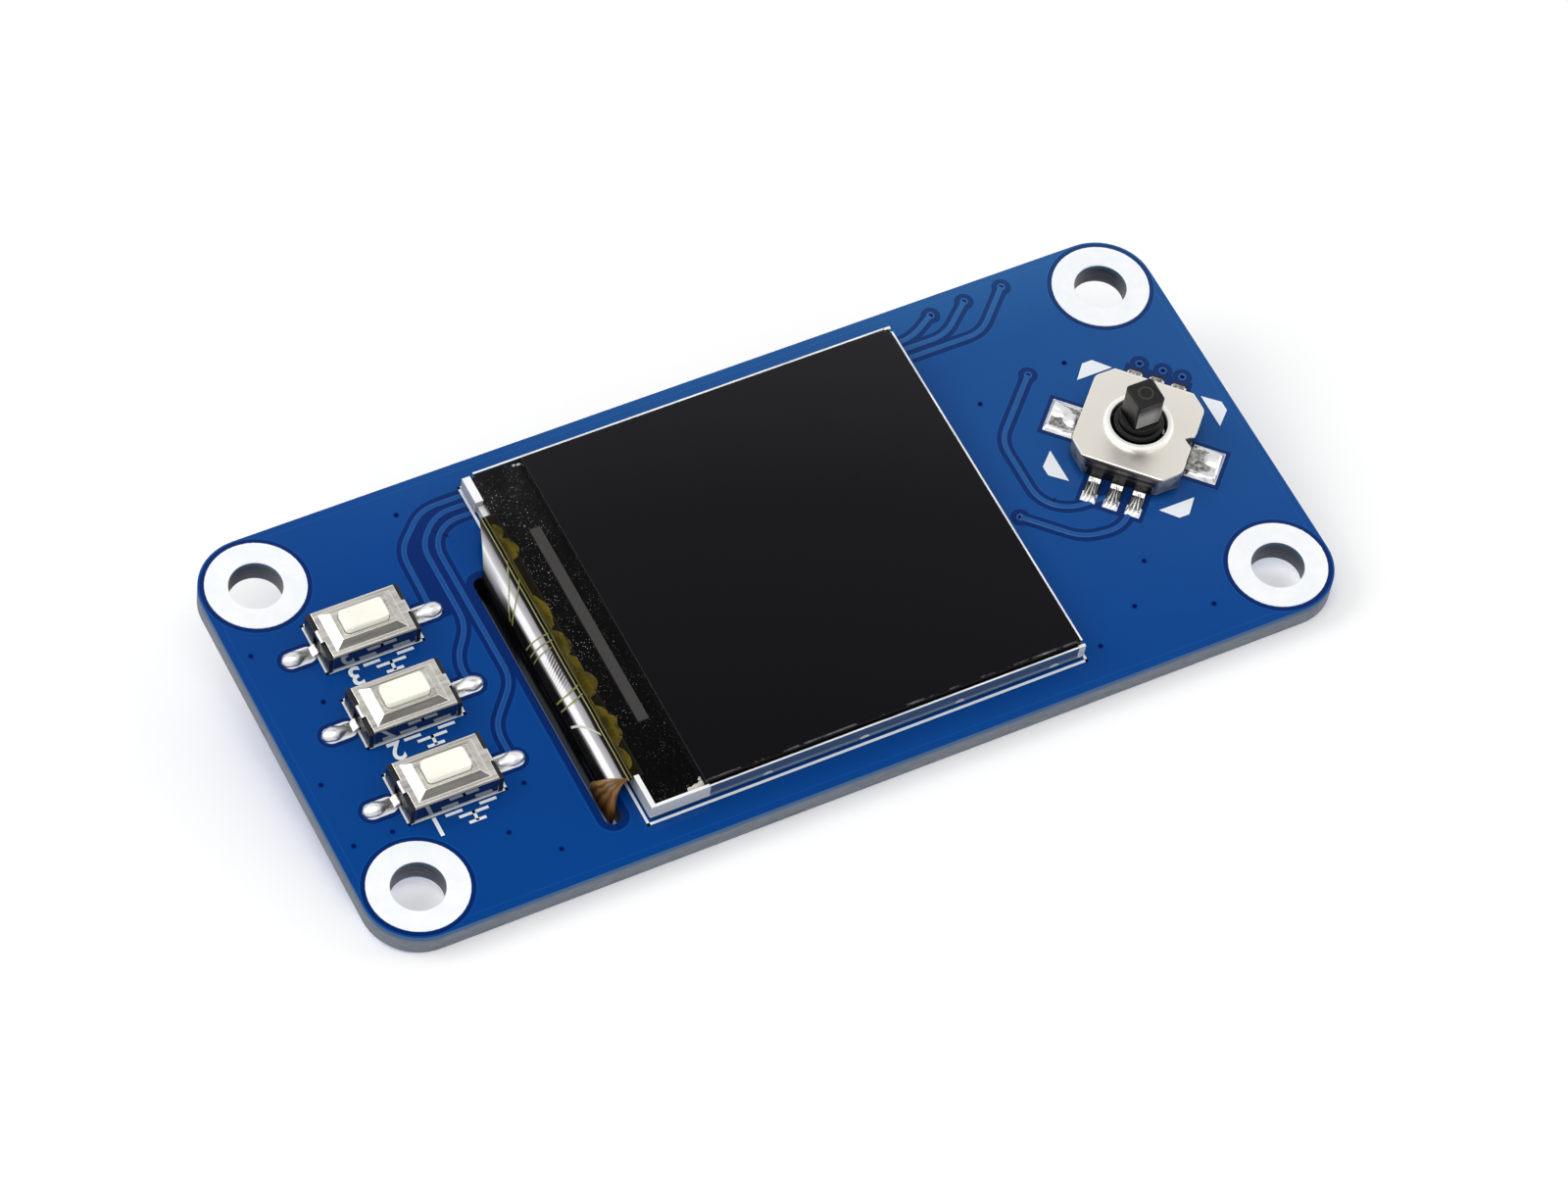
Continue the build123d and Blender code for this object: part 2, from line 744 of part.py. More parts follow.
def make_lcd_frame():
    gap = seat_gap
    outer = block(
        lcd_left, lcd_right - tray_sheet - gap,
        lcd_near + tray_sheet + gap, lcd_far - tray_sheet - gap,
        reflector_z, rear_polariser_z,
    )
    window = block(
        led_window_left, lcd_right - tray_sheet - frame_wall,
        lcd_near + tray_sheet + frame_wall, lcd_far - tray_sheet - frame_wall,
        reflector_z - 1, rear_polariser_z + 1,
    )
    frame = outer - window
    lip_top = lcd_top_z - frame_lip_below_top
    lip_right = lcd_left + frame_lip
    cut_right = lcd_left + tray_corner_cut - gap
    floor_z = tray_rim_z + gap
    near_lip_end = lcd_near + frame_near_lip_length
    far_block_near = lcd_far - frame_far_block_near
    far_block_far = lcd_far - frame_far_block_far
    far_block_left = lcd_left - frame_far_block_out
    frame += block(lcd_left, cut_right, lcd_near, glass_near - gap, floor_z, lip_top)
    frame += block(lcd_left, lip_right, lcd_near, near_lip_end, floor_z, lip_top)
    frame += block(far_block_left, lip_right, far_block_near, far_block_far, floor_z, lip_top)
    post_left = lcd_right - tray_corner_relief + gap
    for y0, y1 in ((lcd_near, glass_near - gap), (glass_far + gap, lcd_far)):
        frame += block(post_left, lcd_right, y0, y1, floor_z, lip_top)
    for x in snap_places():
        snap = make_snap_window(x, gap)
        frame += snap & block(x - 1, x + 1, lcd_near, lcd_near + snap_grip, 0, lcd_top_z)
        frame += snap & block(x - 1, x + 1, lcd_far - snap_grip, lcd_far, 0, lcd_top_z)
    return frame


def make_lcd_layer(x0, x1, margin, z0, z1):
    """One sheet inside the frame's window."""
    inset = tray_sheet + frame_wall + margin
    return block(x0, x1, lcd_near + inset, lcd_far - inset, z0, z1)


led_right = led_window_left + seat_gap + led_width


def make_lcd_reflector():
    right = lcd_right - tray_sheet - frame_wall - seat_gap
    return make_lcd_layer(led_window_left + seat_gap, right, seat_gap, reflector_z, guide_z)


def make_lcd_light_guide():
    right = lcd_right - tray_sheet - frame_wall - seat_gap
    return make_lcd_layer(led_right + seat_gap, right, seat_gap, guide_z, diffuser_z)


def make_lcd_diffuser():
    right = lcd_right - tray_sheet - frame_wall - seat_gap
    return make_lcd_layer(led_right + seat_gap, right, seat_gap, diffuser_z, rear_polariser_z)


def make_lcd_leds():
    leds = []
    for step in range(led_count):
        y = lcd_y + (step - (led_count - 1) / 2) * led_pitch
        leds.append(block(
            led_window_left + seat_gap, led_right, y - led_length / 2, y + led_length / 2,
            guide_z, guide_z + guide_thick,
        ))
    return group(leds)


def make_lcd_rear_polariser():
    margin = rear_polariser_margin
    return block(
        led_right, glass_right - margin, glass_near + margin, glass_far - margin,
        rear_polariser_z, array_glass_z,
    )


def make_lcd_array_glass():
    return block(glass_left, glass_right, glass_near, glass_far, array_glass_z, filter_glass_z)


def make_lcd_filter_glass():
    return block(filter_left, glass_right, glass_near, glass_far, filter_glass_z, front_polariser_z)


def make_lcd_front_polariser():
    margin = front_polariser_margin
    sheet = block(
        filter_left + front_polariser_left, glass_right, glass_near + margin, glass_far - margin,
        front_polariser_z, lcd_top_z,
    )
    far_right = sheet.edges().filter_by(Axis.Z).sort_by(Axis.X)[-2:].sort_by(Axis.Y)[-1]
    return fillet(far_right, front_polariser_corner_r)


def make_lcd_driver_chip():
    x0 = glass_left + chip_from_ledge_edge
    return block(
        x0, x0 + chip_width, chip_y - chip_length / 2, chip_y + chip_length / 2,
        filter_glass_z, filter_glass_z + chip_thick,
    )


def make_lcd_flex():
    bond_z = filter_glass_z + flex_thick / 2
    tail_z = -board_thick - copper - flex_thick / 2
    points = (
        (glass_left + flex_bond, bond_z),
        (flex_drop_x, bond_z),
        (flex_drop_x, tail_z),
        (flex_tail_end, tail_z),
    )
    path = FilletPolyline(*points, radius=(flex_bulge_r, flex_return_r))
    section = Plane.XZ * trace(path, line_width=flex_thick)
    ribbon = Pos(0, flex_far_y, 0) * extrude(section, flex_far_y - flex_near_y)
    left = flex_drop_x - 1
    taper_x = lcd_left - flex_taper_start
    taper = make_face(Polyline(
        (taper_x, flex_far_y + 1),
        (taper_x, flex_far_y),
        (flex_drop_x + flex_thick, flex_tail_far_y),
        (left, flex_tail_far_y),
        (left, flex_far_y + 1),
        close=True,
    ))
    ribbon -= extrude(Pos(0, 0, -board_thick / 4) * taper, 2 * lcd_top_z)
    return ribbon - block(
        left, flex_tail_end + 1, flex_tail_far_y, flex_far_y + 1, tail_z - 1, -board_thick / 5
    )


def make_lcd_glue():
    """Line of sealing glue over the ribbon's end, with a wavy edge of drops run together."""
    top_z = filter_glass_z + flex_thick + glue_thick
    left = glass_left + seat_gap
    edge = glass_left + flex_bond + glue_past_flex
    glue = block(left, edge, flex_near_y, flex_far_y, filter_glass_z, top_z)
    for y, half_length in glue_lobes:
        lobe = Pos(edge, y, filter_glass_z) * Ellipse(glue_lobe_depth, half_length)
        glue += extrude(lobe, top_z - filter_glass_z)
    kept = block(left, filter_left, flex_near_y, flex_far_y, 0, lcd_top_z)
    return (glue & kept) - make_lcd_flex()


def make_flex_solder():
    """Solder that joins each finger of the ribbon's tail to the board's underside."""
    pitch = (flex_tail_far_y - flex_near_y) / flex_finger_count
    bottom = -board_thick - copper - flex_thick
    joints = []
    for step in range(flex_finger_count):
        near = flex_near_y + pitch * (step + 0.5) - flex_joint_width / 2
        joint = block(
            flex_tail_end, flex_tail_end + flex_joint_length, near, near + flex_joint_width,
            bottom, -board_thick,
        )
        low_edge = joint.edges().filter_by(Axis.Y).group_by(Axis.Z)[0].sort_by(Axis.X)[-1]
        joints.append(chamfer(low_edge, flex_joint_edge))
    return group(joints)


# Header socket, in a frame at its centre on the board's underside

socket_length = (socket_columns - 1) * socket_pitch + socket_hole + 2 * socket_end_wall
row_offset = socket_pitch / 2
column_xs = [(step - (socket_columns - 1) / 2) * socket_pitch for step in range(socket_columns)]
contact_y = row_offset + socket_hole / 2 - contact_sheet / 2 - contact_wall_gap


def make_socket_housing():
    housing = block(
        -socket_length / 2, socket_length / 2, -socket_width / 2, socket_width / 2,
        -socket_height, -socket_standoff,
    )
    housing = chamfer(housing.edges().filter_by(Axis.Z), socket_corner)
    foot_half_y = socket_width / 2 - socket_foot_inset
    foot = block(
        socket_length / 2 - socket_foot_length, socket_length / 2, -foot_half_y, foot_half_y,
        -socket_standoff, 0,
    )
    for side in both_sides(foot):
        housing += side
    well = block(
        -socket_hole / 2, socket_hole / 2, -socket_hole / 2, socket_hole / 2,
        -socket_height - 1, 1,
    )
    mouth_side = socket_hole + 2 * socket_lead_in
    mouth = make_crown(
        mouth_side, mouth_side, socket_hole, socket_hole,
        -socket_height, -socket_height + socket_lead_in,
    )
    for x in column_xs:
        for y in (-row_offset, row_offset):
            housing -= Pos(x, y, 0) * (well + mouth)
    return housing


def make_contact():
    half_x = contact_width / 2
    half_y = contact_sheet / 2
    leg = block(-half_x, half_x, contact_y - half_y, contact_y + half_y, -contact_depth, -copper)
    foot = block(-half_x, half_x, contact_y, contact_reach, -copper - contact_sheet, -copper)
    return leg + foot


def make_socket_contacts():
    contact = make_contact()
    return group([twin for x in column_xs for twin in mirrored_rows(contact, x)])


def mirrored_rows(solid, x):
    """The same solid in both rows of the socket at one column."""
    return [Pos(x, 0, 0) * solid, Pos(x, 0, 0) * Rot(0, 0, 180) * solid]


def make_socket_solder():
    wedge = make_face(Polyline(
        (contact_reach, -copper),
        (contact_reach + contact_solder, -copper),
        (contact_reach, -copper - contact_sheet),
        close=True,
    ))
    joint = Rot(0, 0, 90) * extrude(Plane.XZ * wedge, contact_width / 2, both=True)
    return group([twin for x in column_xs for twin in mirrored_rows(joint, x)])


def make_socket_pads():
    half = contact_width / 2 + contact_pad_margin
    outer = contact_reach + contact_solder + contact_pad_margin
    pad = block(-half, half, contact_pad_start, outer, -copper, 0)
    return [twin for x in column_xs for twin in mirrored_rows(pad, x)]


# Small parts on the underside


def make_chip_part(x, y):
    half_x = chip_part_length / 2
    half_y = chip_part_width / 2
    return block(x - half_x, x + half_x, y - half_y, y + half_y, -copper - chip_part_height, -copper)


def make_chip_pads(x, y):
    half_x = chip_part_length / 2
    half_y = chip_part_width / 2 + chip_pad_margin
    outer = half_x + chip_end + chip_pad_margin
    pad = block(half_x - chip_end, outer, -half_y, half_y, -copper, 0)
    return [Pos(x, y, 0) * side for side in both_sides(pad)]


def make_chip_solder(x, y):
    end = chip_part_length / 2
    wedge = make_face(Polyline(
        (end, -copper), (end + chip_end, -copper), (end, -copper - chip_solder_height),
        close=True,
    ))
    joint = extrude(Plane.XZ * wedge, chip_part_width / 2, both=True)
    return [Pos(x, y, 0) * side for side in both_sides(joint)]


def transistor_ways():
    """Turns and shifts of its three leads: one on the far side and two on the near side."""
    return (
        Rot(0, 0, 90),
        Pos(-transistor_lead_pitch, 0, 0) * Rot(0, 0, -90),
        Pos(transistor_lead_pitch, 0, 0) * Rot(0, 0, -90),
    )


def make_transistor():
    half_x = transistor_length / 2
    half_y = transistor_width / 2
    top_z = -copper - transistor_foot_gap
    body = block(-half_x, half_x, -half_y, half_y, -copper - transistor_height, top_z)
    body = chamfer(body.faces().sort_by(Axis.Z)[0].edges(), transistor_edge)
    bend = half_y + transistor_lead_thick
    exit_z = -copper - transistor_height / 2
    foot_z = -copper - transistor_lead_thick / 2
    points = (
        (half_y / 2, exit_z),
        (bend, exit_z),
        (bend + transistor_lead_thick, foot_z),
        (half_y + transistor_lead_reach, foot_z),
    )
    lead = bent_strip(points, transistor_lead_thick, transistor_lead_thick, transistor_lead)
    for way in transistor_ways():
        body += way * lead
    x, y = transistor_place
    return Pos(x, y, 0) * body


def make_transistor_pads():
    x, y = transistor_place
    end = transistor_width / 2 + transistor_lead_reach
    half = transistor_lead / 2
    pad = block(end - transistor_lead, end + copper, -half, half, -copper, 0)
    return [Pos(x, y, 0) * way * pad for way in transistor_ways()]


# Every node by its name


def make_parts():
    parts = {}
    parts["circuit_board"] = make_circuit_board()
    parts["mounting_rings"] = make_mounting_rings()
    top_pads = []
    key_joints = []
    for number, y in enumerate(key_places, start=1):
        place = Pos(key_x, y, board_top)
        name = f"key_{number}"
        parts[f"{name}_base"] = place * make_key_base()
        parts[f"{name}_terminals"] = place * make_key_terminals()
        parts[f"{name}_dome"] = place * make_key_dome()
        parts[f"{name}_cover"] = place * make_key_cover()
        parts[f"{name}_plunger"] = place * make_key_plunger()
        key_joints += [place * joint for joint in make_key_solder()]
        top_pads += [place * pad for pad in make_key_pads()]
    parts["key_solder_joints"] = group(key_joints)
    parts["joystick_housing"] = joystick_place * make_joystick_housing()
    parts["joystick_cover"] = joystick_place * make_joystick_cover()
    parts["joystick_leads"] = joystick_place * group(make_joystick_leads())
    parts["joystick_anchor_tabs"] = joystick_place * group(both_sides(make_anchor_tab()))
    parts["joystick_domes"] = joystick_place * make_joystick_domes()
    parts["joystick_rocker"] = joystick_place * make_joystick_rocker()
    parts["joystick_collar"] = joystick_place * make_joystick_collar()
    parts["joystick_stick"] = joystick_place * make_joystick_stick()
    parts["joystick_solder_joints"] = joystick_place * group(make_joystick_solder())
    top_pads += [joystick_place * pad for pad in make_joystick_pads()]
    parts["top_pads"] = group(top_pads)
    parts["lcd_tape"] = on_board * make_lcd_tape()
    parts["lcd_tray"] = on_board * make_lcd_tray()
    parts["lcd_frame"] = on_board * make_lcd_frame()
    parts["lcd_reflector"] = on_board * make_lcd_reflector()
    parts["lcd_light_guide"] = on_board * make_lcd_light_guide()
    parts["lcd_diffuser"] = on_board * make_lcd_diffuser()
    parts["lcd_leds"] = on_board * make_lcd_leds()
    parts["lcd_rear_polariser"] = on_board * make_lcd_rear_polariser()
    parts["lcd_array_glass"] = on_board * make_lcd_array_glass()
    parts["lcd_filter_glass"] = on_board * make_lcd_filter_glass()
    parts["lcd_front_polariser"] = on_board * make_lcd_front_polariser()
    parts["lcd_driver_chip"] = on_board * make_lcd_driver_chip()
    parts["lcd_flex"] = on_board * make_lcd_flex()
    parts["lcd_glue"] = on_board * make_lcd_glue()
    parts["flex_solder_joints"] = on_board * make_flex_solder()
    under_socket = Pos(0, socket_y, 0)
    parts["socket_housing"] = under_socket * make_socket_housing()
    parts["socket_contacts"] = under_socket * make_socket_contacts()
    parts["socket_solder_joints"] = under_socket * make_socket_solder()
    under_pads = [under_socket * pad for pad in make_socket_pads()]
    under_joints = []
    for x, y in resistor_places + capacitor_places:
        under_pads += make_chip_pads(x, y)
        under_joints += make_chip_solder(x, y)
    under_pads += make_transistor_pads()
    parts["chip_resistors"] = group([make_chip_part(x, y) for x, y in resistor_places])
    parts["chip_capacitors"] = group([make_chip_part(x, y) for x, y in capacitor_places])
    parts["chip_solder_joints"] = group(under_joints)
    parts["backlight_transistor"] = make_transistor()
    parts["underside_pads"] = group(under_pads)
    return parts


os.makedirs("parts", exist_ok=True)
for node, shape in make_parts().items():
    export_step(shape, f"parts/{node}.step")
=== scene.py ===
# Small display board with a square colour display, three push switches and a joystick.
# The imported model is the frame: every piece below sits on it and rides on one of its bodies.

import json
import math
import random

import bmesh
import bpy
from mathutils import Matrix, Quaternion, Vector, noise


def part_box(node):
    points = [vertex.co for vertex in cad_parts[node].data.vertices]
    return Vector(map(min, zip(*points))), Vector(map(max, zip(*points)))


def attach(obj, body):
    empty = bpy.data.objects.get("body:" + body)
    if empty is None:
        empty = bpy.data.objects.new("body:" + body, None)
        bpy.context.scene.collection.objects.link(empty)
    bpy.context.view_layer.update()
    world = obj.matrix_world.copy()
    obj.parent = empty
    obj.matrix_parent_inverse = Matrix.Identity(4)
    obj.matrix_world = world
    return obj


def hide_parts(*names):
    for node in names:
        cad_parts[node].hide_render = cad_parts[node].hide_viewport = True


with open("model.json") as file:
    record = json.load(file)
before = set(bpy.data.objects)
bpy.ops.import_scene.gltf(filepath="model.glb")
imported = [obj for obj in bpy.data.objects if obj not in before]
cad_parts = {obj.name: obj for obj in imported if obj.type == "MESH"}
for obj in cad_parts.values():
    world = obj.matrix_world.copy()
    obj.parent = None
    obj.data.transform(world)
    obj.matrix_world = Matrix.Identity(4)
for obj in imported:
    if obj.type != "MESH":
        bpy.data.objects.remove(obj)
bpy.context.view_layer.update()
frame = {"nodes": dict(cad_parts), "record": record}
cadNodes = frame["nodes"]
scene = bpy.context.scene
mm = 0.001
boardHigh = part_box("circuit_board")[1].z / mm  # top face of the board, in mm
print("frame loaded:", len(cadNodes), "nodes")


# Small helpers for meshes, all sizes in mm


def boxOf(name):
    low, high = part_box(name)
    return low / mm, high / mm


def middleOf(name):
    low, high = boxOf(name)
    return (low + high) / 2


def addObject(name, data):
    thing = bpy.data.objects.new(name, data)
    scene.collection.objects.link(thing)
    return thing


def toBoard(piece):
    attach(piece, "board")
    return piece


def addPiece(name, verts, faces, slot, look=None, smooth=False):
    # look: the paint, where it isn't the one named like the slot
    mesh = bpy.data.meshes.new(name)
    mesh.from_pydata([tuple(c * mm for c in v) for v in verts], [], faces)
    mesh.update()
    if smooth:
        mesh.shade_smooth()
    mesh.materials.append(paint[look or slot])
    return toBoard(addObject(name, mesh))


def circle(x, y, r, count=32):
    turn = 2 * math.pi / count
    return [(x + r * math.cos(k * turn), y + r * math.sin(k * turn)) for k in range(count)]


def shifted(points, x, y):
    return [(x + px, y + py) for px, py in points]


def turned(points, x, y, degrees):
    c, s = math.cos(math.radians(degrees)), math.sin(math.radians(degrees))
    return [(x + c * px - s * py, y + s * px + c * py) for px, py in points]


def placed(points, x, y, degrees):
    # points with a height over the board's top face, turned and moved
    flat = turned([point[:2] for point in points], x, y, degrees)
    return [(px, py, boardHigh + point[2]) for (px, py), point in zip(flat, points)]


def rectangle(halfX, halfY):
    return [(-halfX, -halfY), (halfX, -halfY), (halfX, halfY), (-halfX, halfY)]


def roundedRectangle(halfX, halfY, r, steps=6):
    points = []
    for sx, sy, start in ((1, 1, 0), (-1, 1, 90), (-1, -1, 180), (1, -1, 270)):
        for k in range(steps + 1):
            a = math.radians(start + 90 * k / steps)
            points.append((sx * (halfX - r) + r * math.cos(a), sy * (halfY - r) + r * math.sin(a)))
    return points


def roundedPath(points, r, steps=6):
    path = [Vector(points[0])]
    for before, corner, after in zip(points, points[1:], points[2:]):
        a, b, c = Vector(before), Vector(corner), Vector(after)
        start = b + (a - b).normalized() * min(r, (a - b).length / 2)
        end = b + (c - b).normalized() * min(r, (c - b).length / 2)
        for k in range(steps + 1):
            t = k / steps
            path.append((1 - t) ** 2 * start + 2 * t * (1 - t) * b + t * t * end)
    path.append(Vector(points[-1]))
    return path


def stripOf(verts, faces, path, profile, closed=False):
    # profile: (offset across, height above the board's top face) from one side to the other
    count = len(path)
    rows = []
    for k, point in enumerate(path):
        before = Vector(path[k - 1] if k or closed else path[0])
        after = Vector(path[(k + 1) % count] if k < count - 1 or closed else path[-1])
        along = (after - before).normalized()
        side = Vector((-along.y, along.x))
        places = [(Vector(point) + side * offset, height) for offset, height in profile]
        rows.append([(place.x, place.y, boardHigh + height) for place, height in places])
    base, width = len(verts), len(profile)
    for row in rows:
        verts.extend(row)
    for k in range(count if closed else count - 1):
        a = base + k * width
        b = base + ((k + 1) % count) * width
        for n in range(width - 1):
            faces.append((a + n, b + n, b + n + 1, a + n + 1))


def plateOf(verts, faces, outline, height):
    base = len(verts)
    verts.extend((x, y, boardHigh + height) for x, y in outline)
    faces.append(tuple(range(base, base + len(outline))))


def surface(along, across, pointAt):
    # rows of points; both shares that pointAt gets run from 0 to 1
    return [[pointAt(k / along, n / across) for n in range(across + 1)] for k in range(along + 1)]


def addSheets(name, sheets, slot, look=None, smooth=True):
    # a piece of several sheets, each one rows of points, all the same length, joined into quads
    verts, faces = [], []
    for rows in sheets:
        base, width = len(verts), len(rows[0])
        for row in rows:
            verts.extend(row)
        for k in range(len(rows) - 1):
            for a in range(base + k * width, base + k * width + width - 1):
                faces.append((a, a + 1, a + width + 1, a + width))
    return addPiece(name, verts, faces, slot, look, smooth)


def smoothStep(value, low, high):
    t = min(1.0, max(0.0, (value - low) / (high - low)))
    return t * t * (3 - 2 * t)


# Node helpers: a value is linked where it is a socket, and set where it is a number or a colour


def rgb(r, g, b):
    # a colour as seen on screen, 0 to 255, turned into the linear values that nodes take
    def linear(c):
        c /= 255
        return c / 12.92 if c <= 0.04045 else ((c + 0.055) / 1.055) ** 2.4
    return (linear(r), linear(g), linear(b), 1.0)


def put(kind, inputs=None, tree=None, **settings):
    # a node in the tree given, or else in that of the sockets which feed it
    inputs = inputs or {}
    sockets = [value for value in inputs.values() if isinstance(value, bpy.types.NodeSocket)]
    tree = tree or sockets[0].id_data
    node = tree.nodes.new(kind)
    for key, value in settings.items():
        setattr(node, key, value)
    for key, value in inputs.items():
        if value in sockets:
            tree.links.new(value, node.inputs[key])
        else:
            node.inputs[key].default_value = value
    return node.outputs


def mixColour(factor, a, b):
    return put("ShaderNodeMix", {0: factor, 6: a, 7: b}, data_type="RGBA")[2]


def coat(tone, *layers):
    # colours laid over a tone, each through a mask
    for mask, colour in layers:
        tone = mixColour(mask, tone, colour)
    return tone


def mapTo(value, low, high, outLow=0.0, outHigh=1.0):
    return put("ShaderNodeMapRange", {"Value": value, 1: low, 2: high, 3: outLow, 4: outHigh})[0]


def maths(operation, a, b=0.0):
    return put("ShaderNodeMath", {0: a, 1: b}, operation=operation)[0]


def times(product, *factors):
    for factor in factors:
        product = maths("MULTIPLY", product, factor)
    return product


def above(value, limit):
    return maths("GREATER_THAN", value, limit)


def below(value, limit):
    return maths("LESS_THAN", value, limit)


def sizeOf(value):
    return maths("ABSOLUTE", value)


def swingOf(grain, reach):
    # a grain value turned into an offset to both sides of zero
    return times(maths("SUBTRACT", grain, 0.5), reach)


def vectorMaths(operation, a, b):
    outputs = put("ShaderNodeVectorMath", {0: a, 1: b}, operation=operation)
    return outputs["Value" if operation in ("DISTANCE", "DOT_PRODUCT") else "Vector"]


def scaled(vector, factor):
    return put("ShaderNodeVectorMath", {0: vector, "Scale": factor}, operation="SCALE")[0]


def bumpOf(height, strength, distance, normal=None):
    inputs = {"Height": height, "Strength": strength, "Distance": distance * mm}
    if normal is not None:
        inputs["Normal"] = normal
    return put("ShaderNodeBump", inputs)[0]


def objectPlace(tree):
    return put("ShaderNodeTexCoord", tree=tree)["Object"]


def partsOf(vector):
    return put("ShaderNodeSeparateXYZ", {0: vector})


def placeOf(tree):
    # x, y and z of the shaded point, in mm
    return partsOf(scaled(objectPlace(tree), 1 / mm))


def flatNormal(tree):
    return put("ShaderNodeNewGeometry", tree=tree)["True Normal"]


def facingOf(tree):
    return partsOf(flatNormal(tree))


def stripPlace(tree):
    # the point's share along and across a sheet that addStripMap has mapped
    return partsOf(put("ShaderNodeUVMap", tree=tree, uv_map="strip")[0])[:2]


floatKind, vectorKind, colourKind = "NodeSocketFloat", "NodeSocketVector", "NodeSocketColor"


def newGroup(name, inputs, outputs):
    # inputs: kind and default by label; outputs: kind by label
    group = bpy.data.node_groups.new(name, "ShaderNodeTree")
    for label, (kind, value) in inputs.items():
        socket = group.interface.new_socket(name=label, in_out="INPUT", socket_type=kind)
        socket.default_value = value
    for label, kind in outputs.items():
        group.interface.new_socket(name=label, in_out="OUTPUT", socket_type=kind)
    return group, group.nodes.new("NodeGroupInput").outputs, group.nodes.new("NodeGroupOutput").inputs


def makeGrainGroup():
    # noise stretched along chosen axes: brushed lines, laminate, moulded grain
    inputs = {"Stretch": (vectorKind, (1, 1, 1)), "Scale": (floatKind, 1000.0), "Detail": (floatKind, 3.0)}
    group, source, sink = newGroup("stretchedGrain", inputs, {"Value": floatKind})
    spread = vectorMaths("MULTIPLY", objectPlace(group), source["Stretch"])
    inputs = {"Vector": spread, "Scale": source["Scale"], "Detail": source["Detail"], "Roughness": 0.6}
    group.links.new(put("ShaderNodeTexNoise", inputs)[0], sink["Value"])
    return group


def makeSpecksGroup():
    # small dots of uneven size, for dust and crumbs
    inputs = {"Scale": (floatKind, 5000.0), "Size": (floatKind, 0.2), "Share": (floatKind, 0.3)}
    group, source, sink = newGroup("scatteredSpecks", inputs, {"Mask": floatKind})
    cells = put("ShaderNodeTexVoronoi", {"Vector": objectPlace(group), "Scale": source["Scale"]})
    chance = put("ShaderNodeSeparateColor", {0: cells["Color"]})
    near = below(cells["Distance"], times(source["Size"], chance[1]))
    picked = below(chance[0], source["Share"])
    group.links.new(times(near, picked), sink["Mask"])
    return group


def makeEdgeGroup():
    # rounded normal along sharp edges, and a mask of those edges
    outputs = {"Normal": vectorKind, "Mask": floatKind}
    group, source, sink = newGroup("softEdges", {"Radius": (floatKind, 0.00003)}, outputs)
    bevel = put("ShaderNodeBevel", {"Radius": source["Radius"]}, samples=6)[0]
    group.links.new(bevel, sink["Normal"])
    group.links.new(mapTo(vectorMaths("DOT_PRODUCT", bevel, flatNormal(group)), 0.995, 0.85), sink["Mask"])
    return group


def makeDriftGroup():
    # slow lightening and darkening of one colour
    inputs = {"Color": (colourKind, (1, 1, 1, 1)), "Amount": (floatKind, 0.1), "Scale": (floatKind, 100.0)}
    group, source, sink = newGroup("toneDrift", inputs, {"Color": colourKind})
    inputs = {"Vector": objectPlace(group), "Scale": source["Scale"], "Detail": 2.0}
    swing = times(swingOf(put("ShaderNodeTexNoise", inputs)[0], source["Amount"]), 2.0)
    group.links.new(scaled(source["Color"], maths("ADD", swing, 1.0)), sink["Color"])
    return group


grainGroup = makeGrainGroup()
specksGroup = makeSpecksGroup()
edgeGroup = makeEdgeGroup()
driftGroup = makeDriftGroup()


def grainOf(tree, scale, detail, stretch=(1, 1, 1)):
    inputs = {"Stretch": stretch, "Scale": scale, "Detail": detail}
    return put("ShaderNodeGroup", inputs, tree, node_tree=grainGroup)["Value"]


def specksOf(tree, scale, size, share):
    inputs = {"Scale": scale, "Size": size, "Share": share}
    return put("ShaderNodeGroup", inputs, tree, node_tree=specksGroup)["Mask"]


def edgesOf(tree, radius):
    # normal and mask
    return put("ShaderNodeGroup", {"Radius": radius * mm}, tree, node_tree=edgeGroup)


def driftOf(tree, colour, amount, scale):
    inputs = {"Color": colour, "Amount": amount, "Scale": scale}
    return put("ShaderNodeGroup", inputs, tree, node_tree=driftGroup)["Color"]


def newMaterial(name, roughness=0.5, metallic=0.0, specular=0.5):
    material = bpy.data.materials.new(name)
    material.use_nodes = True
    sockets = material.node_tree.nodes["Principled BSDF"].inputs
    sockets["Roughness"].default_value = roughness
    sockets["Metallic"].default_value = metallic
    sockets["Specular IOR Level"].default_value = specular
    return material, material.node_tree


def shaded(material, **values):
    # feeds what varies over the surface into the shader's sockets
    tree = material.node_tree
    for label, value in values.items():
        tree.links.new(value, tree.nodes["Principled BSDF"].inputs[label.replace("_", " ")])
    return material


# Camera at the photo's viewing angle, floor and lights

cameraSettings = {"place": (-127.75, -184.53, 324.07), "aim": (0.21, -1.17, 1.6), "roll": 9.79,
                  "lens": 149.04, "clip": (0.01, 20)}


def makeCamera():
    s = cameraSettings
    data = bpy.data.cameras.new("viewCamera")
    data.lens = s["lens"]
    data.sensor_width = 36
    data.clip_start, data.clip_end = s["clip"]
    camera = addObject("viewCamera", data)
    place, aim = Vector(s["place"]) * mm, Vector(s["aim"]) * mm
    level = (aim - place).to_track_quat("-Z", "Y")
    camera.rotation_mode = "QUATERNION"
    camera.location = place
    camera.rotation_quaternion = level @ Quaternion((0, 0, 1), math.radians(s["roll"]))
    scene.camera = camera


makeCamera()
scene.view_settings.view_transform = "Standard"

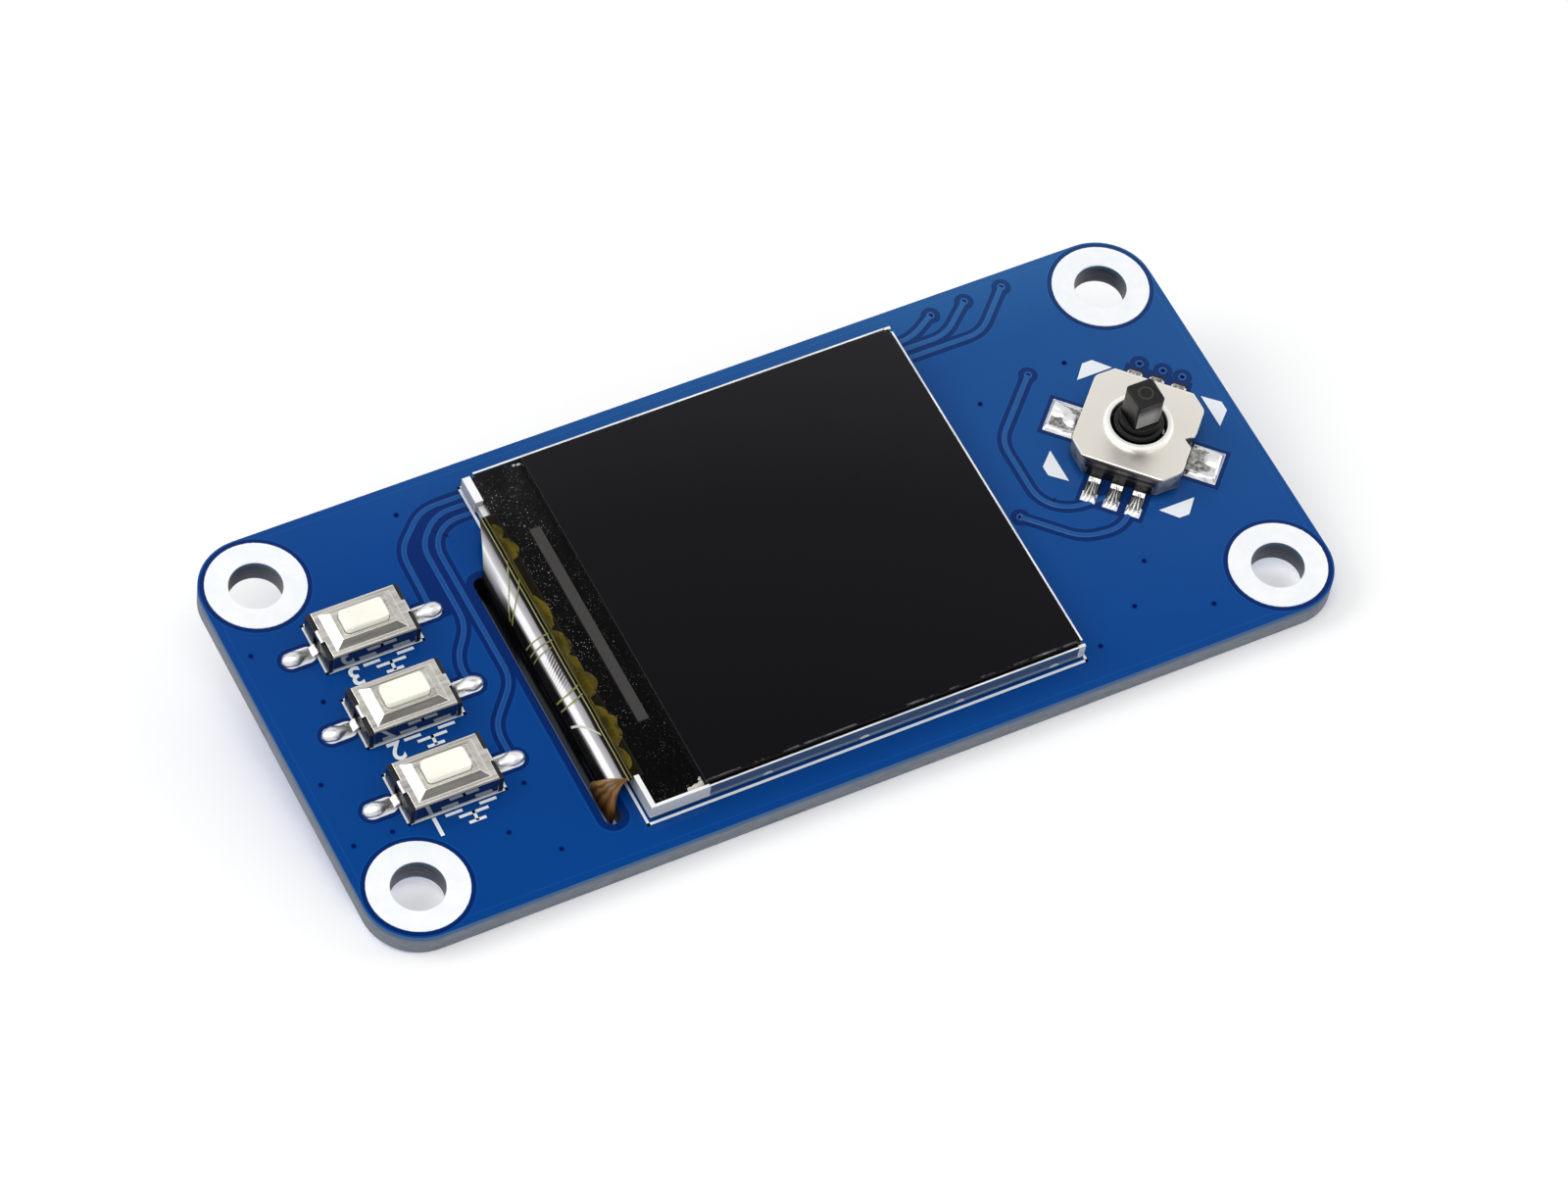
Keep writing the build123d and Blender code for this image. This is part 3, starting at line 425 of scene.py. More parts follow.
# The board leans on its near edge and on the socket, as in the photo, so the floor slopes by that lean
floorSettings = {"halfSize": 3000, "gap": 0.02, "colour": 0.95, "lift": 0.10, "under": 0.55}


def makeFloor():
    s = floorSettings
    near, socket = boxOf("circuit_board")[0], boxOf("socket_housing")[0]
    slope = (socket.z - near.z) / (socket.y - near.y)
    mesh = bpy.data.meshes.new("floor")
    mesh.from_pydata([(x * mm, y * mm, (near.z + slope * (y - near.y) - s["gap"]) * mm)
                      for x, y in rectangle(s["halfSize"], s["halfSize"])], [], [(0, 1, 2, 3)])
    floor = addObject("floor", mesh)
    material = bpy.data.materials.new("floorWhite")
    material.use_nodes = True
    tree = material.node_tree
    tree.nodes.clear()
    path = put("ShaderNodeLightPath", tree=tree)
    paper = put("ShaderNodeBsdfDiffuse", {"Color": (s["colour"],) * 3 + (1,)}, tree)[0]
    seen = maths("MAXIMUM", path["Is Camera Ray"], path["Is Glossy Ray"])
    seen = maths("MAXIMUM", seen, path["Is Transmission Ray"])
    glow = put("ShaderNodeEmission", {"Strength": mapTo(seen, 0, 1, s["under"], s["lift"])})[0]
    lit = put("ShaderNodeAddShader", {0: paper, 1: glow})[0]
    back = put("ShaderNodeNewGeometry", tree=tree)["Backfacing"]
    clear = put("ShaderNodeBsdfTransparent", tree=tree)[0]
    oneSided = put("ShaderNodeMixShader", {0: back, 1: lit, 2: clear})[0]
    put("ShaderNodeOutputMaterial", {"Surface": oneSided})
    mesh.materials.append(material)


makeFloor()

# direction from the object, distance and side in mm, radiance
lightSettings = {
    "topBox": {"towards": (-0.15, -0.10, 0.98), "distance": 800, "side": 520, "radiance": 2.1},
    "leftBox": {"towards": (-0.68, 0.47, 0.57), "distance": 700, "side": 380, "radiance": 2.8},
    "rightBox": {"towards": (0.85, -0.20, 0.42), "distance": 750, "side": 360, "radiance": 1.6},
}


def makeLights():
    for name, light in lightSettings.items():
        data = bpy.data.lights.new(name, "AREA")
        data.shape = "SQUARE"
        data.size = light["side"] * mm
        data.energy = light["radiance"] * math.pi * data.size ** 2
        lamp = addObject(name, data)
        towards = Vector(light["towards"]).normalized()
        lamp.location = towards * light["distance"] * mm
        lamp.rotation_mode = "QUATERNION"
        lamp.rotation_quaternion = towards.to_track_quat("Z", "Y")
        lamp.visible_camera = False


makeLights()

# What the camera's mirrored line of sight meets is dark, as on the black glass in the photo
worldSettings = {
    "light": 0.72, "bright": 1.25,
    "darkTowards": (0.283, 0.361, 0.889), "darkCore": 5.0, "darkMid": 8.5, "darkEdge": 13.0,
    "coreLevel": 0.03, "midLevel": 0.22,
    "frontTowards": (0.33, -0.82, 0.47), "frontCore": 8.0, "frontEdge": 26.0, "frontLevel": 0.25,
}


def makeWorld():
    s = worldSettings
    world = bpy.data.worlds.new("studio")
    scene.world = world
    world.use_nodes = True
    tree = world.node_tree
    tree.nodes.clear()
    path = put("ShaderNodeLightPath", tree=tree)
    way = put("ShaderNodeTexCoord", tree=tree)["Generated"]

    def degreesFrom(towards):
        dot = vectorMaths("DOT_PRODUCT", way, tuple(Vector(towards).normalized()))
        return maths("DEGREES", maths("ARCCOSINE", dot))

    away = degreesFrom(s["darkTowards"])
    inner = mapTo(away, s["darkCore"], s["darkMid"], s["coreLevel"], s["midLevel"])
    outer = mapTo(away, s["darkMid"], s["darkEdge"], 0.0, s["bright"] - s["midLevel"])
    front = mapTo(degreesFrom(s["frontTowards"]), s["frontCore"], s["frontEdge"], s["frontLevel"])
    level = times(maths("ADD", inner, outer), front)
    mirrored, light, white = [put("ShaderNodeBackground", {"Strength": strength}, tree)[0]
                              for strength in (level, s["light"], 1.0)]
    glossy = put("ShaderNodeMixShader", {0: path["Is Glossy Ray"], 1: light, 2: mirrored})[0]
    direct = maths("MAXIMUM", path["Is Camera Ray"], path["Is Transmission Ray"])
    seen = put("ShaderNodeMixShader", {0: direct, 1: glossy, 2: white})[0]
    put("ShaderNodeOutputWorld", {"Surface": seen})


makeWorld()
print("camera, floor and lights made")


keyMiddles = [middleOf(f"key_{n}_cover") for n in (1, 2, 3)]
joyMiddle = middleOf("joystick_stick")
joyTurn = 45  # the joystick's leads run along this direction


def joystickPlace(tree):
    # distances from the joystick's middle along its leads and across them, in mm
    apart = vectorMaths("SUBTRACT", objectPlace(tree), tuple(joyMiddle * mm))
    leadWay, tabWay = turned([(1 / mm, 0), (0, 1 / mm)], 0, 0, joyTurn)
    return [vectorMaths("DOT_PRODUCT", apart, (x, y, 0)) for x, y in (leadWay, tabWay)]


# Materials of the board

slotSettings = {"x": -16.45, "near": -12.2, "far": 6.8, "half": 0.55,
                "wallReach": 0.6, "wallEnd": 14.0, "shadeFrom": -1.5, "shadeTo": 2.5}
edgeSettings = {"tintLow": 0.55, "tintHigh": 0.25}  # depth below the board's top, where its edge turns blue
# slotShadeNear and slotShadeFar: painted shade inside the slot
maskColours = {"pour": rgb(0, 65, 139), "gap": rgb(1, 40, 105), "raised": rgb(18, 76, 146),
               "edge": rgb(112, 118, 128), "edgeDark": rgb(88, 93, 102), "edgeTop": rgb(46, 82, 122),
               "slotShadeNear": rgb(34, 38, 42), "slotShadeFar": rgb(3, 3, 5)}


# painted light: where the mask is painted lighter, towards the board's right end and along its far edge,
# and how much
maskPaintedLight = {"acrossX": (-12, 32), "acrossY": (-13, 1), "across": 0.42,
             "alongX": (-24, -8), "alongY": (10, 14.5), "along": 0.34, "more": (0.026, 0.074, 0.078)}


def makeMaskMaterial(name, colour, roughness=0.12, pale=1.0):
    # blue varnish over copper, painted lighter towards the board's right end and far edge as painted light
    s = maskPaintedLight
    material, tree = newMaterial(name, roughness, specular=0.22)
    x, y = placeOf(tree)[:2]
    across = times(mapTo(x, *s["acrossX"], 0, s["across"]), mapTo(y, *s["acrossY"], 0.15, 1))
    along = times(mapTo(y, *s["alongY"], 0, s["along"]), mapTo(x, *s["alongX"], 0.2, 1))
    # share of the painted light at this point
    light = times(maths("ADD", across, along), pale)
    paler = tuple(c + more for c, more in zip(colour[:3], s["more"])) + (1.0,)
    tone = driftOf(tree, mixColour(light, colour, paler), 0.05, 90)
    tone = mixColour(specksOf(tree, 900, 0.07, 0.06), tone, maskColours["raised"])
    return shaded(material, Base_Color=tone, Normal=bumpOf(grainOf(tree, 700, 2), 0.25, 0.01))


def makeBoardMaterial():
    # blue mask on both faces, bare glass fibre on every wall, painted shade on the walls of the slot
    s = slotSettings
    material = makeMaskMaterial("boardBlue", maskColours["pour"])
    tree = material.node_tree
    tone = tree.nodes["Principled BSDF"].inputs["Base Color"].links[0].from_socket
    x, y, z = placeOf(tree)
    fibres = mapTo(grainOf(tree, 1500, 4, (1, 1, 6)), 0.3, 0.7)
    # painted shade inside the slot: dark grey at its near end, black further in
    shade = mapTo(y, s["shadeFrom"], s["shadeTo"])
    slotShade = mixColour(shade, maskColours["slotShadeNear"], maskColours["slotShadeFar"])
    fromSlot = sizeOf(maths("SUBTRACT", x, s["x"]))
    inSlot = times(below(fromSlot, s["wallReach"]), below(sizeOf(y), s["wallEnd"]))
    tint = mapTo(z, boardHigh - edgeSettings["tintLow"], boardHigh - edgeSettings["tintHigh"])
    wall = coat(mixColour(fibres, maskColours["edgeDark"], maskColours["edge"]),
                (tint, maskColours["edgeTop"]), (inSlot, slotShade))
    face = above(sizeOf(facingOf(tree)[2]), 0.5)
    return shaded(material, Base_Color=mixColour(face, wall, tone),
                  Roughness=mapTo(face, 0, 1, 0.6, 0.16))


def makeInkMaterial():
    material, tree = newMaterial("whiteInk", 0.45)
    grain = grainOf(tree, 6000, 3)
    return shaded(material, Base_Color=mixColour(grain, rgb(222, 230, 240), rgb(246, 249, 252)),
                  Normal=bumpOf(grain, 0.3, 0.01))


# the part of the pads between the joystick's leads, in the shade of its body, from the joystick's middle
shadeSettings = {"near": -4.72, "far": 5.6, "half": 2.3}


def makeTinMaterial():
    # tinned copper: pale, satin, faintly mottled, dark in the joystick's shade
    s = shadeSettings
    material, tree = newMaterial("tinnedPads", 0.45, 0.25)
    cloud = grainOf(tree, 900, 5)
    outward, sideways = joystickPlace(tree)
    inShade = times(above(outward, s["near"]), below(outward, s["far"]), below(sizeOf(sideways), s["half"]))
    tone = mixColour(mapTo(cloud, 0.35, 0.7), rgb(244, 248, 252), rgb(254, 255, 255))
    return shaded(material, Base_Color=mixColour(inShade, tone, rgb(6, 16, 46)),
                  Normal=bumpOf(cloud, 0.35, 0.02))


def makeSolderMaterial():
    material, tree = newMaterial("brightSolder", 0.2, 1.0)
    cloud = grainOf(tree, 520, 2)
    return shaded(material, Base_Color=mixColour(cloud, rgb(204, 204, 206), rgb(244, 244, 246)),
                  Roughness=mapTo(cloud, 0.3, 0.75, 0.26, 0.46), Normal=bumpOf(cloud, 0.35, 0.04))


def makeSheetMaterial(name, low, high, stretch, roughness, radius=0.05, lines=0.35, wall=None, edge=None,
                      wallMetal=1.0):
    # brushed or rolled metal sheet with softened edges painted bright as a painted highlight; faces turned
    # to the near side take a painted shade, and upright walls may be darker mirrors painted in the wall
    # colour as a painted reflection
    material, tree = newMaterial(name, roughness, 1.0)
    edgeNormal, edgeMask = edgesOf(tree, radius)
    brush = grainOf(tree, 2500, 4, stretch)
    tone = mixColour(mapTo(brush, 0.3, 0.7), low, high)
    rough = mapTo(brush, 0.3, 0.7, roughness * 0.8, roughness * 1.3)
    if wall is not None:
        faceY, faceZ = facingOf(tree)[1:]
        upright = below(sizeOf(faceZ), 0.3)
        # painted shade on faces turned to the near side, painted reflection on upright walls
        tone = coat(tone, (below(faceY, -0.3), scaled(tone, 0.5)), (upright, wall))
        rough = put("ShaderNodeMix", {0: upright, 2: rough, 3: 0.06})[0]
        if wallMetal < 1:
            shaded(material, Metallic=mapTo(upright, 0, 1, 1, wallMetal))
    # edges painted in the edge colour: a painted highlight
    return shaded(material, Base_Color=mixColour(edgeMask, tone, edge or high), Roughness=rough,
                  Normal=bumpOf(brush, lines, 0.01, edgeNormal))


# where the painted reflection of the stick lies and fades, and where the flanges and the raised ring begin
coverSettings = {"reflectionX": -1.1, "reflectionY": -2.0, "reflectionZ": 3.5, "reflectionFrom": 0.75, "reflectionFull": 0.2,
                 "reflectionRough": 1.2, "flangeFrom": 3.5, "ringFoot": 2.02}


def makeJoystickCoverMaterial():
    # satin nickel top with a painted reflection of the stick beside the ring and a raised ring painted near
    # white as a painted highlight; the long side flanges carry a painted dark reflection of the leads
    s = coverSettings
    material, tree = newMaterial("satinNickel", 0.34, 1.0)
    cloud = grainOf(tree, 500, 2)
    # painted reflection of the stick: a darker patch beside the ring
    reflectionAt = ((joyMiddle.x + s["reflectionX"]) * mm, (joyMiddle.y + s["reflectionY"]) * mm, s["reflectionZ"] * mm)
    away = maths("ADD", vectorMaths("DISTANCE", objectPlace(tree), reflectionAt),
                 swingOf(cloud, s["reflectionRough"] * mm))
    stickReflection = mapTo(away, s["reflectionFull"] * mm, s["reflectionFrom"] * mm, 0.55, 0)
    outside = above(sizeOf(joystickPlace(tree)[0]), s["flangeFrom"])
    # long side flanges: painted dark reflection of the leads
    flange = times(below(sizeOf(facingOf(tree)[2]), 0.9), outside)
    bands = mapTo(grainOf(tree, 700, 3, (0.2, 0.2, 9)), 0.45, 0.75)
    # raised ring: painted highlight, near white
    raised = above(placeOf(tree)[2], boardHigh + s["ringFoot"])
    tone = coat(mixColour(cloud, rgb(246, 240, 229), rgb(254, 250, 243)),
                (stickReflection, rgb(120, 108, 92)),
                (flange, mixColour(bands, rgb(34, 28, 25), rgb(150, 146, 140))),
                (times(raised, maths("SUBTRACT", 1.0, stickReflection)), rgb(255, 254, 250)))
    return shaded(material, Base_Color=tone, Metallic=mapTo(raised, 0, 1, 0.9, 0.25),
                  Normal=bumpOf(cloud, 0.1, 0.02, edgesOf(tree, 0.06)["Normal"]))


def makeMouldedMaterial(name, colour, roughness, grain=0.4, radius=0.04, scale=2500, wall=None):
    # moulded plastic: fine grain, softened edges painted a little lighter as a painted highlight, and,
    # where a wall colour is given, upright walls in that colour as a painted shade
    material, tree = newMaterial(name, roughness)
    edgeNormal, edgeMask = edgesOf(tree, radius)
    tone = driftOf(tree, colour, 0.12, 600)
    if wall is not None:
        # painted shade on upright walls
        tone = mixColour(below(sizeOf(facingOf(tree)[2]), 0.3), tone, wall)
    pale = tuple(min(1.0, c * 1.5 + 0.01) for c in colour[:3]) + (1.0,)
    pits = grainOf(tree, scale, 3)
    # edges painted paler: a painted highlight
    return shaded(material, Base_Color=mixColour(times(edgeMask, 0.5), tone, pale),
                  Roughness=mapTo(pits, 0.3, 0.7, roughness * 0.8, min(1.0, roughness * 1.25)),
                  Normal=bumpOf(pits, grain, 0.015, edgeNormal))


# heights over the board's top face, of the collar, the painted reflection and the ring; x and radius from
# the stick's middle
stickSettings = {"collarTop": 3.0, "brightFull": 4.0, "brightEnd": 4.7, "fadeFrom": 0.2, "fadeTo": 0.95,
                 "ringRadius": 0.44, "ringHalf": 0.05, "ringAbove": 5.1}


def makeStickMaterial():
    # dark moulded stick; its near right side carries a painted reflection of the bright surroundings, its
    # top face and edges a painted highlight, and its top bears a faint ring
    s = stickSettings
    material, tree = newMaterial("stickBlack", 0.24, specular=0.1)
    edgeNormal, edgeMask = edgesOf(tree, 0.08)
    x, y, z = placeOf(tree)
    faceY, faceZ = facingOf(tree)[1:]
    # painted reflection on the near right side
    bright = times(mapTo(z, boardHigh + s["brightEnd"], boardHigh + s["brightFull"], 0.08, 0.8),
                   above(z, boardHigh + s["collarTop"]), below(faceY, -0.8),
                   mapTo(x, joyMiddle.x + s["fadeFrom"], joyMiddle.x + s["fadeTo"], 1, 0.15))
    flat = vectorMaths("MULTIPLY", objectPlace(tree), (1, 1, 0))
    away = vectorMaths("DISTANCE", flat, (joyMiddle.x * mm, joyMiddle.y * mm, 0))
    fromRing = sizeOf(maths("SUBTRACT", away, s["ringRadius"] * mm))
    ring = times(below(fromRing, s["ringHalf"] * mm), above(z, boardHigh + s["ringAbove"]), 0.6)
    # top face painted lighter than the sides: a painted highlight
    black = mixColour(above(faceZ, 0.8), rgb(14, 14, 15), rgb(42, 42, 42))
    tone = coat(driftOf(tree, black, 0.2, 600), (bright, rgb(156, 155, 153)), (ring, rgb(84, 82, 78)),
                (times(edgeMask, 0.35), rgb(120, 119, 117)))
    return shaded(material, Base_Color=tone, Normal=edgeNormal)


# where the dust thins out past the driver chip and towards the near end, and where haze lies
ledgeSettings = {"chipX": (-12.9, -11.2), "nearY": (-11, -4), "hazeY": (6, 12), "haze": 0.06, "thin": 0.35}


def makeLedgeMaterial():
    # bare black edge of the lower glass, with dust
    s = ledgeSettings
    material, tree = newMaterial("dustyGlass", 0.1, specular=0.3)
    x, y = placeOf(tree)[:2]
    dusty = mapTo(grainOf(tree, 420, 3), 0.42, 0.62, 0.15, 1)
    fine, coarse = specksOf(tree, 11000, 0.36, 0.45), specksOf(tree, 4200, 0.22, 0.10)
    dust = times(maths("MAXIMUM", times(fine, 0.55), coarse), dusty,
                 mapTo(x, *s["chipX"], 1, s["thin"]), mapTo(y, *s["nearY"], s["thin"], 1))
    haze = times(mapTo(y, *s["hazeY"], 0, s["haze"]), dusty)
    tone = coat(driftOf(tree, rgb(7, 6, 7), 0.5, 350), (haze, rgb(110, 108, 112)),
                (dust, rgb(208, 204, 196)))
    return shaded(material, Base_Color=tone, Roughness=mapTo(dust, 0, 1, 0.08, 0.7))


# the pale line: mm in from the display's near edge, and from there to where it thins out and ends
paleLineSettings = {"inside": 0.12, "dense": 0.02, "end": 0.08}


def makeBlackGlassMaterial():
    # black display with sparse dust, and a thin pale line along its near edge
    s = paleLineSettings
    material, tree = newMaterial("displayBlack", 0.03)
    nearLine = boxOf("lcd_front_polariser")[0].y + s["inside"]
    apart = sizeOf(maths("SUBTRACT", placeOf(tree)[1], nearLine))
    paleLine = times(mapTo(apart, s["dense"], s["end"], 1, 0),
                 mapTo(grainOf(tree, 700, 6), 0.5, 0.75, 0, 0.7))
    dust = times(specksOf(tree, 420, 0.02, 0.10), 0.4)
    tone = coat(driftOf(tree, rgb(15, 15, 19), 0.08, 60), (dust, rgb(140, 140, 142)),
                (paleLine, rgb(170, 170, 172)))
    return shaded(material, Base_Color=tone, Normal=edgesOf(tree, 0.03)["Normal"])


def makePlatingMaterial():
    # hole wall: plated barrel painted dark as a painted shade, lighter towards the bottom, with a teal rim
    # at the top
    material, tree = newMaterial("holePlating", 0.4, specular=0.3)
    layers = grainOf(tree, 1200, 4, (0.4, 0.4, 5))
    depth = mapTo(placeOf(tree)[2], 0, boardHigh)
    # painted shade: darkest at the top of the wall, lighter towards the bottom
    tone = coat(mixColour(depth, rgb(66, 72, 86), rgb(14, 20, 32)),
                (mapTo(layers, 0.5, 0.7, 0, 0.8), rgb(92, 98, 108)),
                (above(depth, 0.82), rgb(18, 78, 112)))
    return shaded(material, Base_Color=tone, Normal=bumpOf(layers, 0.5, 0.05))


def toneRamp(factor, stops):
    # stops: position, then red, green and blue as seen on screen
    output = put("ShaderNodeValToRGB", {0: factor})[0]
    elements = output.node.color_ramp.elements
    while len(elements) > 1:
        elements.remove(elements[-1])
    elements[0].position = stops[0][0]
    elements[0].color = rgb(*stops[0][1:])
    for position, *colour in stops[1:]:
        elements.new(position).color = rgb(*colour)
    return output


# tones along the ribbon: olive lines at the glass, a silvery painted highlight on the bulge, then black, a
# painted dark reflection and shade, and the part in the slot; the painted highlight is wider towards the
# ribbon's far end
bondTones = [(0.00, 20, 18, 10), (0.19, 24, 20, 8), (0.207, 116, 112, 58), (0.222, 10, 8, 4),
             (0.256, 8, 7, 4), (0.27, 176, 174, 128), (0.285, 7, 6, 4)]
narrowHighlight = [(0.33, 30, 28, 28), (0.35, 156, 154, 158), (0.42, 186, 184, 188), (0.445, 252, 251, 252),
               (0.515, 250, 249, 249), (0.54, 120, 118, 120), (0.57, 12, 11, 11)]
wideHighlight = [(0.33, 70, 68, 66), (0.36, 150, 148, 152), (0.43, 196, 194, 198), (0.46, 246, 245, 247),
             (0.49, 206, 204, 208), (0.54, 170, 168, 174), (0.60, 120, 118, 122), (0.64, 26, 24, 24)]
slotTones = [(0.84, 4, 4, 4), (0.865, 104, 110, 112), (1.0, 96, 102, 104)]
amberTones = [(0.0, 122, 96, 54), (0.10, 158, 120, 62), (0.20, 64, 44, 16), (0.30, 128, 92, 40),
              (0.42, 56, 36, 12), (0.52, 124, 86, 34), (0.66, 66, 42, 16), (0.82, 132, 90, 38),
              (1.0, 48, 30, 12)]


# shares of the ribbon's length, u, and of its width, v, from the near side
filmSettings = {
    "waver": 0.035, "wideV": (0.78, 0.90), "stripeTurns": 470.0, "stripeSlant": 34.0, "stripesU": 0.32,
    "paleU": (0.42, 0.47), "nearV": (0.37, 0.42), "farV": (0.50, 0.54), "slotU": 0.8, "slotV": (0.62, 0.70),
}


def makeFlexMaterial():
    s = filmSettings
    material, tree = newMaterial("ribbonFilm", 0.25, specular=0.08)
    u, v = stripPlace(tree)
    crease = grainOf(tree, 260, 3)
    along = maths("ADD", u, swingOf(crease, s["waver"]))
    # the highlight on the bulge and the dark below it are painted into these tone ramps
    narrow, wide = [toneRamp(along, bondTones + highlightTones + slotTones) for highlightTones in (narrowHighlight, wideHighlight)]
    # fine slanting conductors in the middle of the ribbon
    slant = maths("SUBTRACT", times(v, s["stripeTurns"]), times(u, s["stripeSlant"]))
    stripes = times(mapTo(maths("SINE", slant), -0.1, 0.5, 0, 0.9),
                    mapTo(v, *s["nearV"]), mapTo(v, *s["farV"], 1, 0),
                    above(u, s["stripesU"]), mapTo(u, *s["paleU"], 1, 0.25))
    # painted shade on the ribbon's far part in the slot
    shadeInSlot = times(above(u, s["slotU"]), mapTo(v, *s["slotV"]))
    tone = coat(mixColour(mapTo(v, *s["wideV"]), narrow, wide),
                (stripes, rgb(40, 36, 30)), (shadeInSlot, rgb(3, 3, 4)))
    return shaded(material, Base_Color=tone, Normal=bumpOf(crease, 0.4, 0.05))


def makeAmberFilmMaterial():
    # amber film with dark conductor stripes that follow the bend
    material, tree = newMaterial("amberFilm", 0.25, specular=0.25)
    u, v = stripPlace(tree)
    streak = grainOf(tree, 500, 3, (3, 0.3, 3))
    tone = toneRamp(maths("ADD", v, swingOf(streak, 0.25)), amberTones)
    # darker towards the end that goes down into the slot: a painted shade
    return shaded(material, Base_Color=mixColour(mapTo(u, 0.55, 1, 0, 0.75), tone, rgb(38, 24, 14)),
                  Normal=bumpOf(streak, 0.4, 0.04))


def makeGlueMaterial():
    # amber drops: olive where thick, nearly black beside the ribbon, a few pale specks at the outer edge,
    # partly dust and partly painted highlight glints
    material, tree = newMaterial("amberGlue", 0.2, specular=0.1)
    u, v = stripPlace(tree)
    cloud = grainOf(tree, 900, 3, (1.6, 0.7, 1))
    thick = times(mapTo(cloud, 0.34, 0.58, 0.35, 1), mapTo(v, 0.1, 0.5, 0.3, 1))
    # pale specks at the outer edge: dust and painted highlight glints
    fringe = times(mapTo(grainOf(tree, 2600, 3), 0.54, 0.66, 0, 0.7), mapTo(v, 0.86, 0.97))
    tone = mixColour(thick, rgb(18, 13, 2), rgb(92, 80, 6))
    return shaded(material, Base_Color=mixColour(fringe, tone, rgb(176, 166, 134)),
                  Normal=bumpOf(cloud, 0.6, 0.06))


def makePlainMaterial(name, colour, roughness, specular=0.5):
    material, tree = newMaterial(name, roughness, specular=specular)
    return shaded(material, Base_Color=driftOf(tree, colour, 0.3, 900))


# moulded plastics: name, colour, roughness, grain strength, edge radius, grain scale, colour of the painted
# shade on walls
mouldings = {
    "black_moulding": ("blackNylon", rgb(16, 16, 17), 0.32, 0.9),
    "socket_plastic": ("socketBlack", rgb(22, 22, 23), 0.5, 0.5),
    "ivory_plastic": ("ivoryButton", rgb(255, 254, 240), 0.35, 0.25, 0.05),
    "white_plastic": ("whiteFrame", rgb(246, 247, 247), 0.35, 0.3, 0.04, 2500, rgb(176, 180, 186)),
    "foam_tape": ("blackTape", rgb(26, 26, 27), 0.8, 0.8),
    "driver_silicon": ("greySilicon", rgb(40, 38, 37), 0.45, 0.9, 0.02, 5000),
    "reflector_film": ("whiteFilm", rgb(232, 233, 233), 0.5, 0.2),
    "led_body": ("paleLedBody", rgb(226, 216, 150), 0.4, 0.2),
    "resistor_body": ("resistorBlack", rgb(22, 22, 24), 0.4, 0.3),
    "capacitor_body": ("capacitorTan", rgb(178, 146, 108), 0.45, 0.3),
    "transistor_body": ("blackEpoxy", rgb(24, 24, 25), 0.55, 0.5),
    "crumb": ("paleCrumb", rgb(196, 192, 186), 0.6, 0.6),
}
# metal sheets: name, darker and paler tone, stretch of the grain, roughness, edge radius, strength of the
# grain, colour of the painted reflection on walls, colour of the painted highlight on edges, metallic share
# of walls
sheets = {
    # switch covers: grey blue painted reflection on the walls, painted highlight on the edges
    "switch_steel": ("brushedSteel", rgb(206, 203, 196), rgb(232, 229, 221), (0.08, 1, 1), 0.3, 0.07, 0.2,
                     rgb(120, 126, 136), rgb(252, 251, 248)),
    # display tray: slate blue painted reflection of the board on the walls, painted highlight on the edges
    "tray_metal": ("brightTray", rgb(226, 229, 233), rgb(250, 251, 253), (0.2, 0.2, 1), 0.5, 0.07, 0.1,
                   rgb(84, 104, 132), rgb(250, 252, 255), 0.5),
    "lead_metal": ("tinnedBrass", rgb(92, 90, 88), rgb(236, 236, 234), (1.8, 1.8, 1), 0.2),
    "spring_steel": ("springSheet", rgb(180, 178, 172), rgb(222, 220, 214), (1, 1, 1), 0.3),
    "contact_gold": ("platedContacts", rgb(214, 170, 92), rgb(240, 205, 130), (1, 1, 1), 0.25),
    # the joystick cover's corner walls: painted darker grey than its top, a painted reflection
    "corner_steel": ("coverCornerReflection", rgb(138, 137, 138), rgb(176, 175, 175), (1, 1, 1), 0.4),
}
# every paint, by the CAD slot that wears it or else by the look that a piece of the scene asks for
paint = {
    "blue_solder_mask": makeBoardMaterial(), "tinned_copper": makeTinMaterial(),
    "solder": makeSolderMaterial(), "nickel_sheet": makeJoystickCoverMaterial(),
    "joystick_black": makeStickMaterial(),
    "display_glass": makeLedgeMaterial(), "polariser_film": makeBlackGlassMaterial(),
    "amber_glue": makeGlueMaterial(), "flex_film": makeFlexMaterial(),
    # the gaps take less of the painted light
    "mask_gap": makeMaskMaterial("maskOverBareBoard", maskColours["gap"], 0.12, 0.4),
    "mask_raised": makeMaskMaterial("maskOverCopper", maskColours["raised"]),
    # a slightly lighter line along the pour edges: a painted highlight
    "mask_rim": makeMaskMaterial("maskRim", rgb(12, 72, 146)),
    "via": makePlainMaterial("viaMouth", rgb(8, 24, 84), 0.8, 0.0),
    "ink": makeInkMaterial(), "plating": makePlatingMaterial(), "amberFilm": makeAmberFilmMaterial(),
    "ribbonTrace": makePlainMaterial("ribbonTrace", rgb(128, 126, 62), 0.3),
    # painted highlight glints on the ribbon
    "ribbonGlint": makePlainMaterial("ribbonGlint", rgb(206, 204, 190), 0.3),
}
paint.update({key: makeMouldedMaterial(*look) for key, look in mouldings.items()})
paint.update({key: makeSheetMaterial(*look) for key, look in sheets.items()})
paint["clear_acrylic"] = paint["diffuser_film"] = paint["reflector_film"]


def dressNodes():
    slotOf = {part["node"]: part["material_slot"] for part in frame["record"]["subparts"]}
    for name, node in cadNodes.items():
        node.data.materials.clear()
        node.data.materials.append(paint[slotOf[name]])


dressNodes()
print("materials on", len(cadNodes), "nodes")


# Relief of the blue mask: traces, gaps round them, vias and outlines

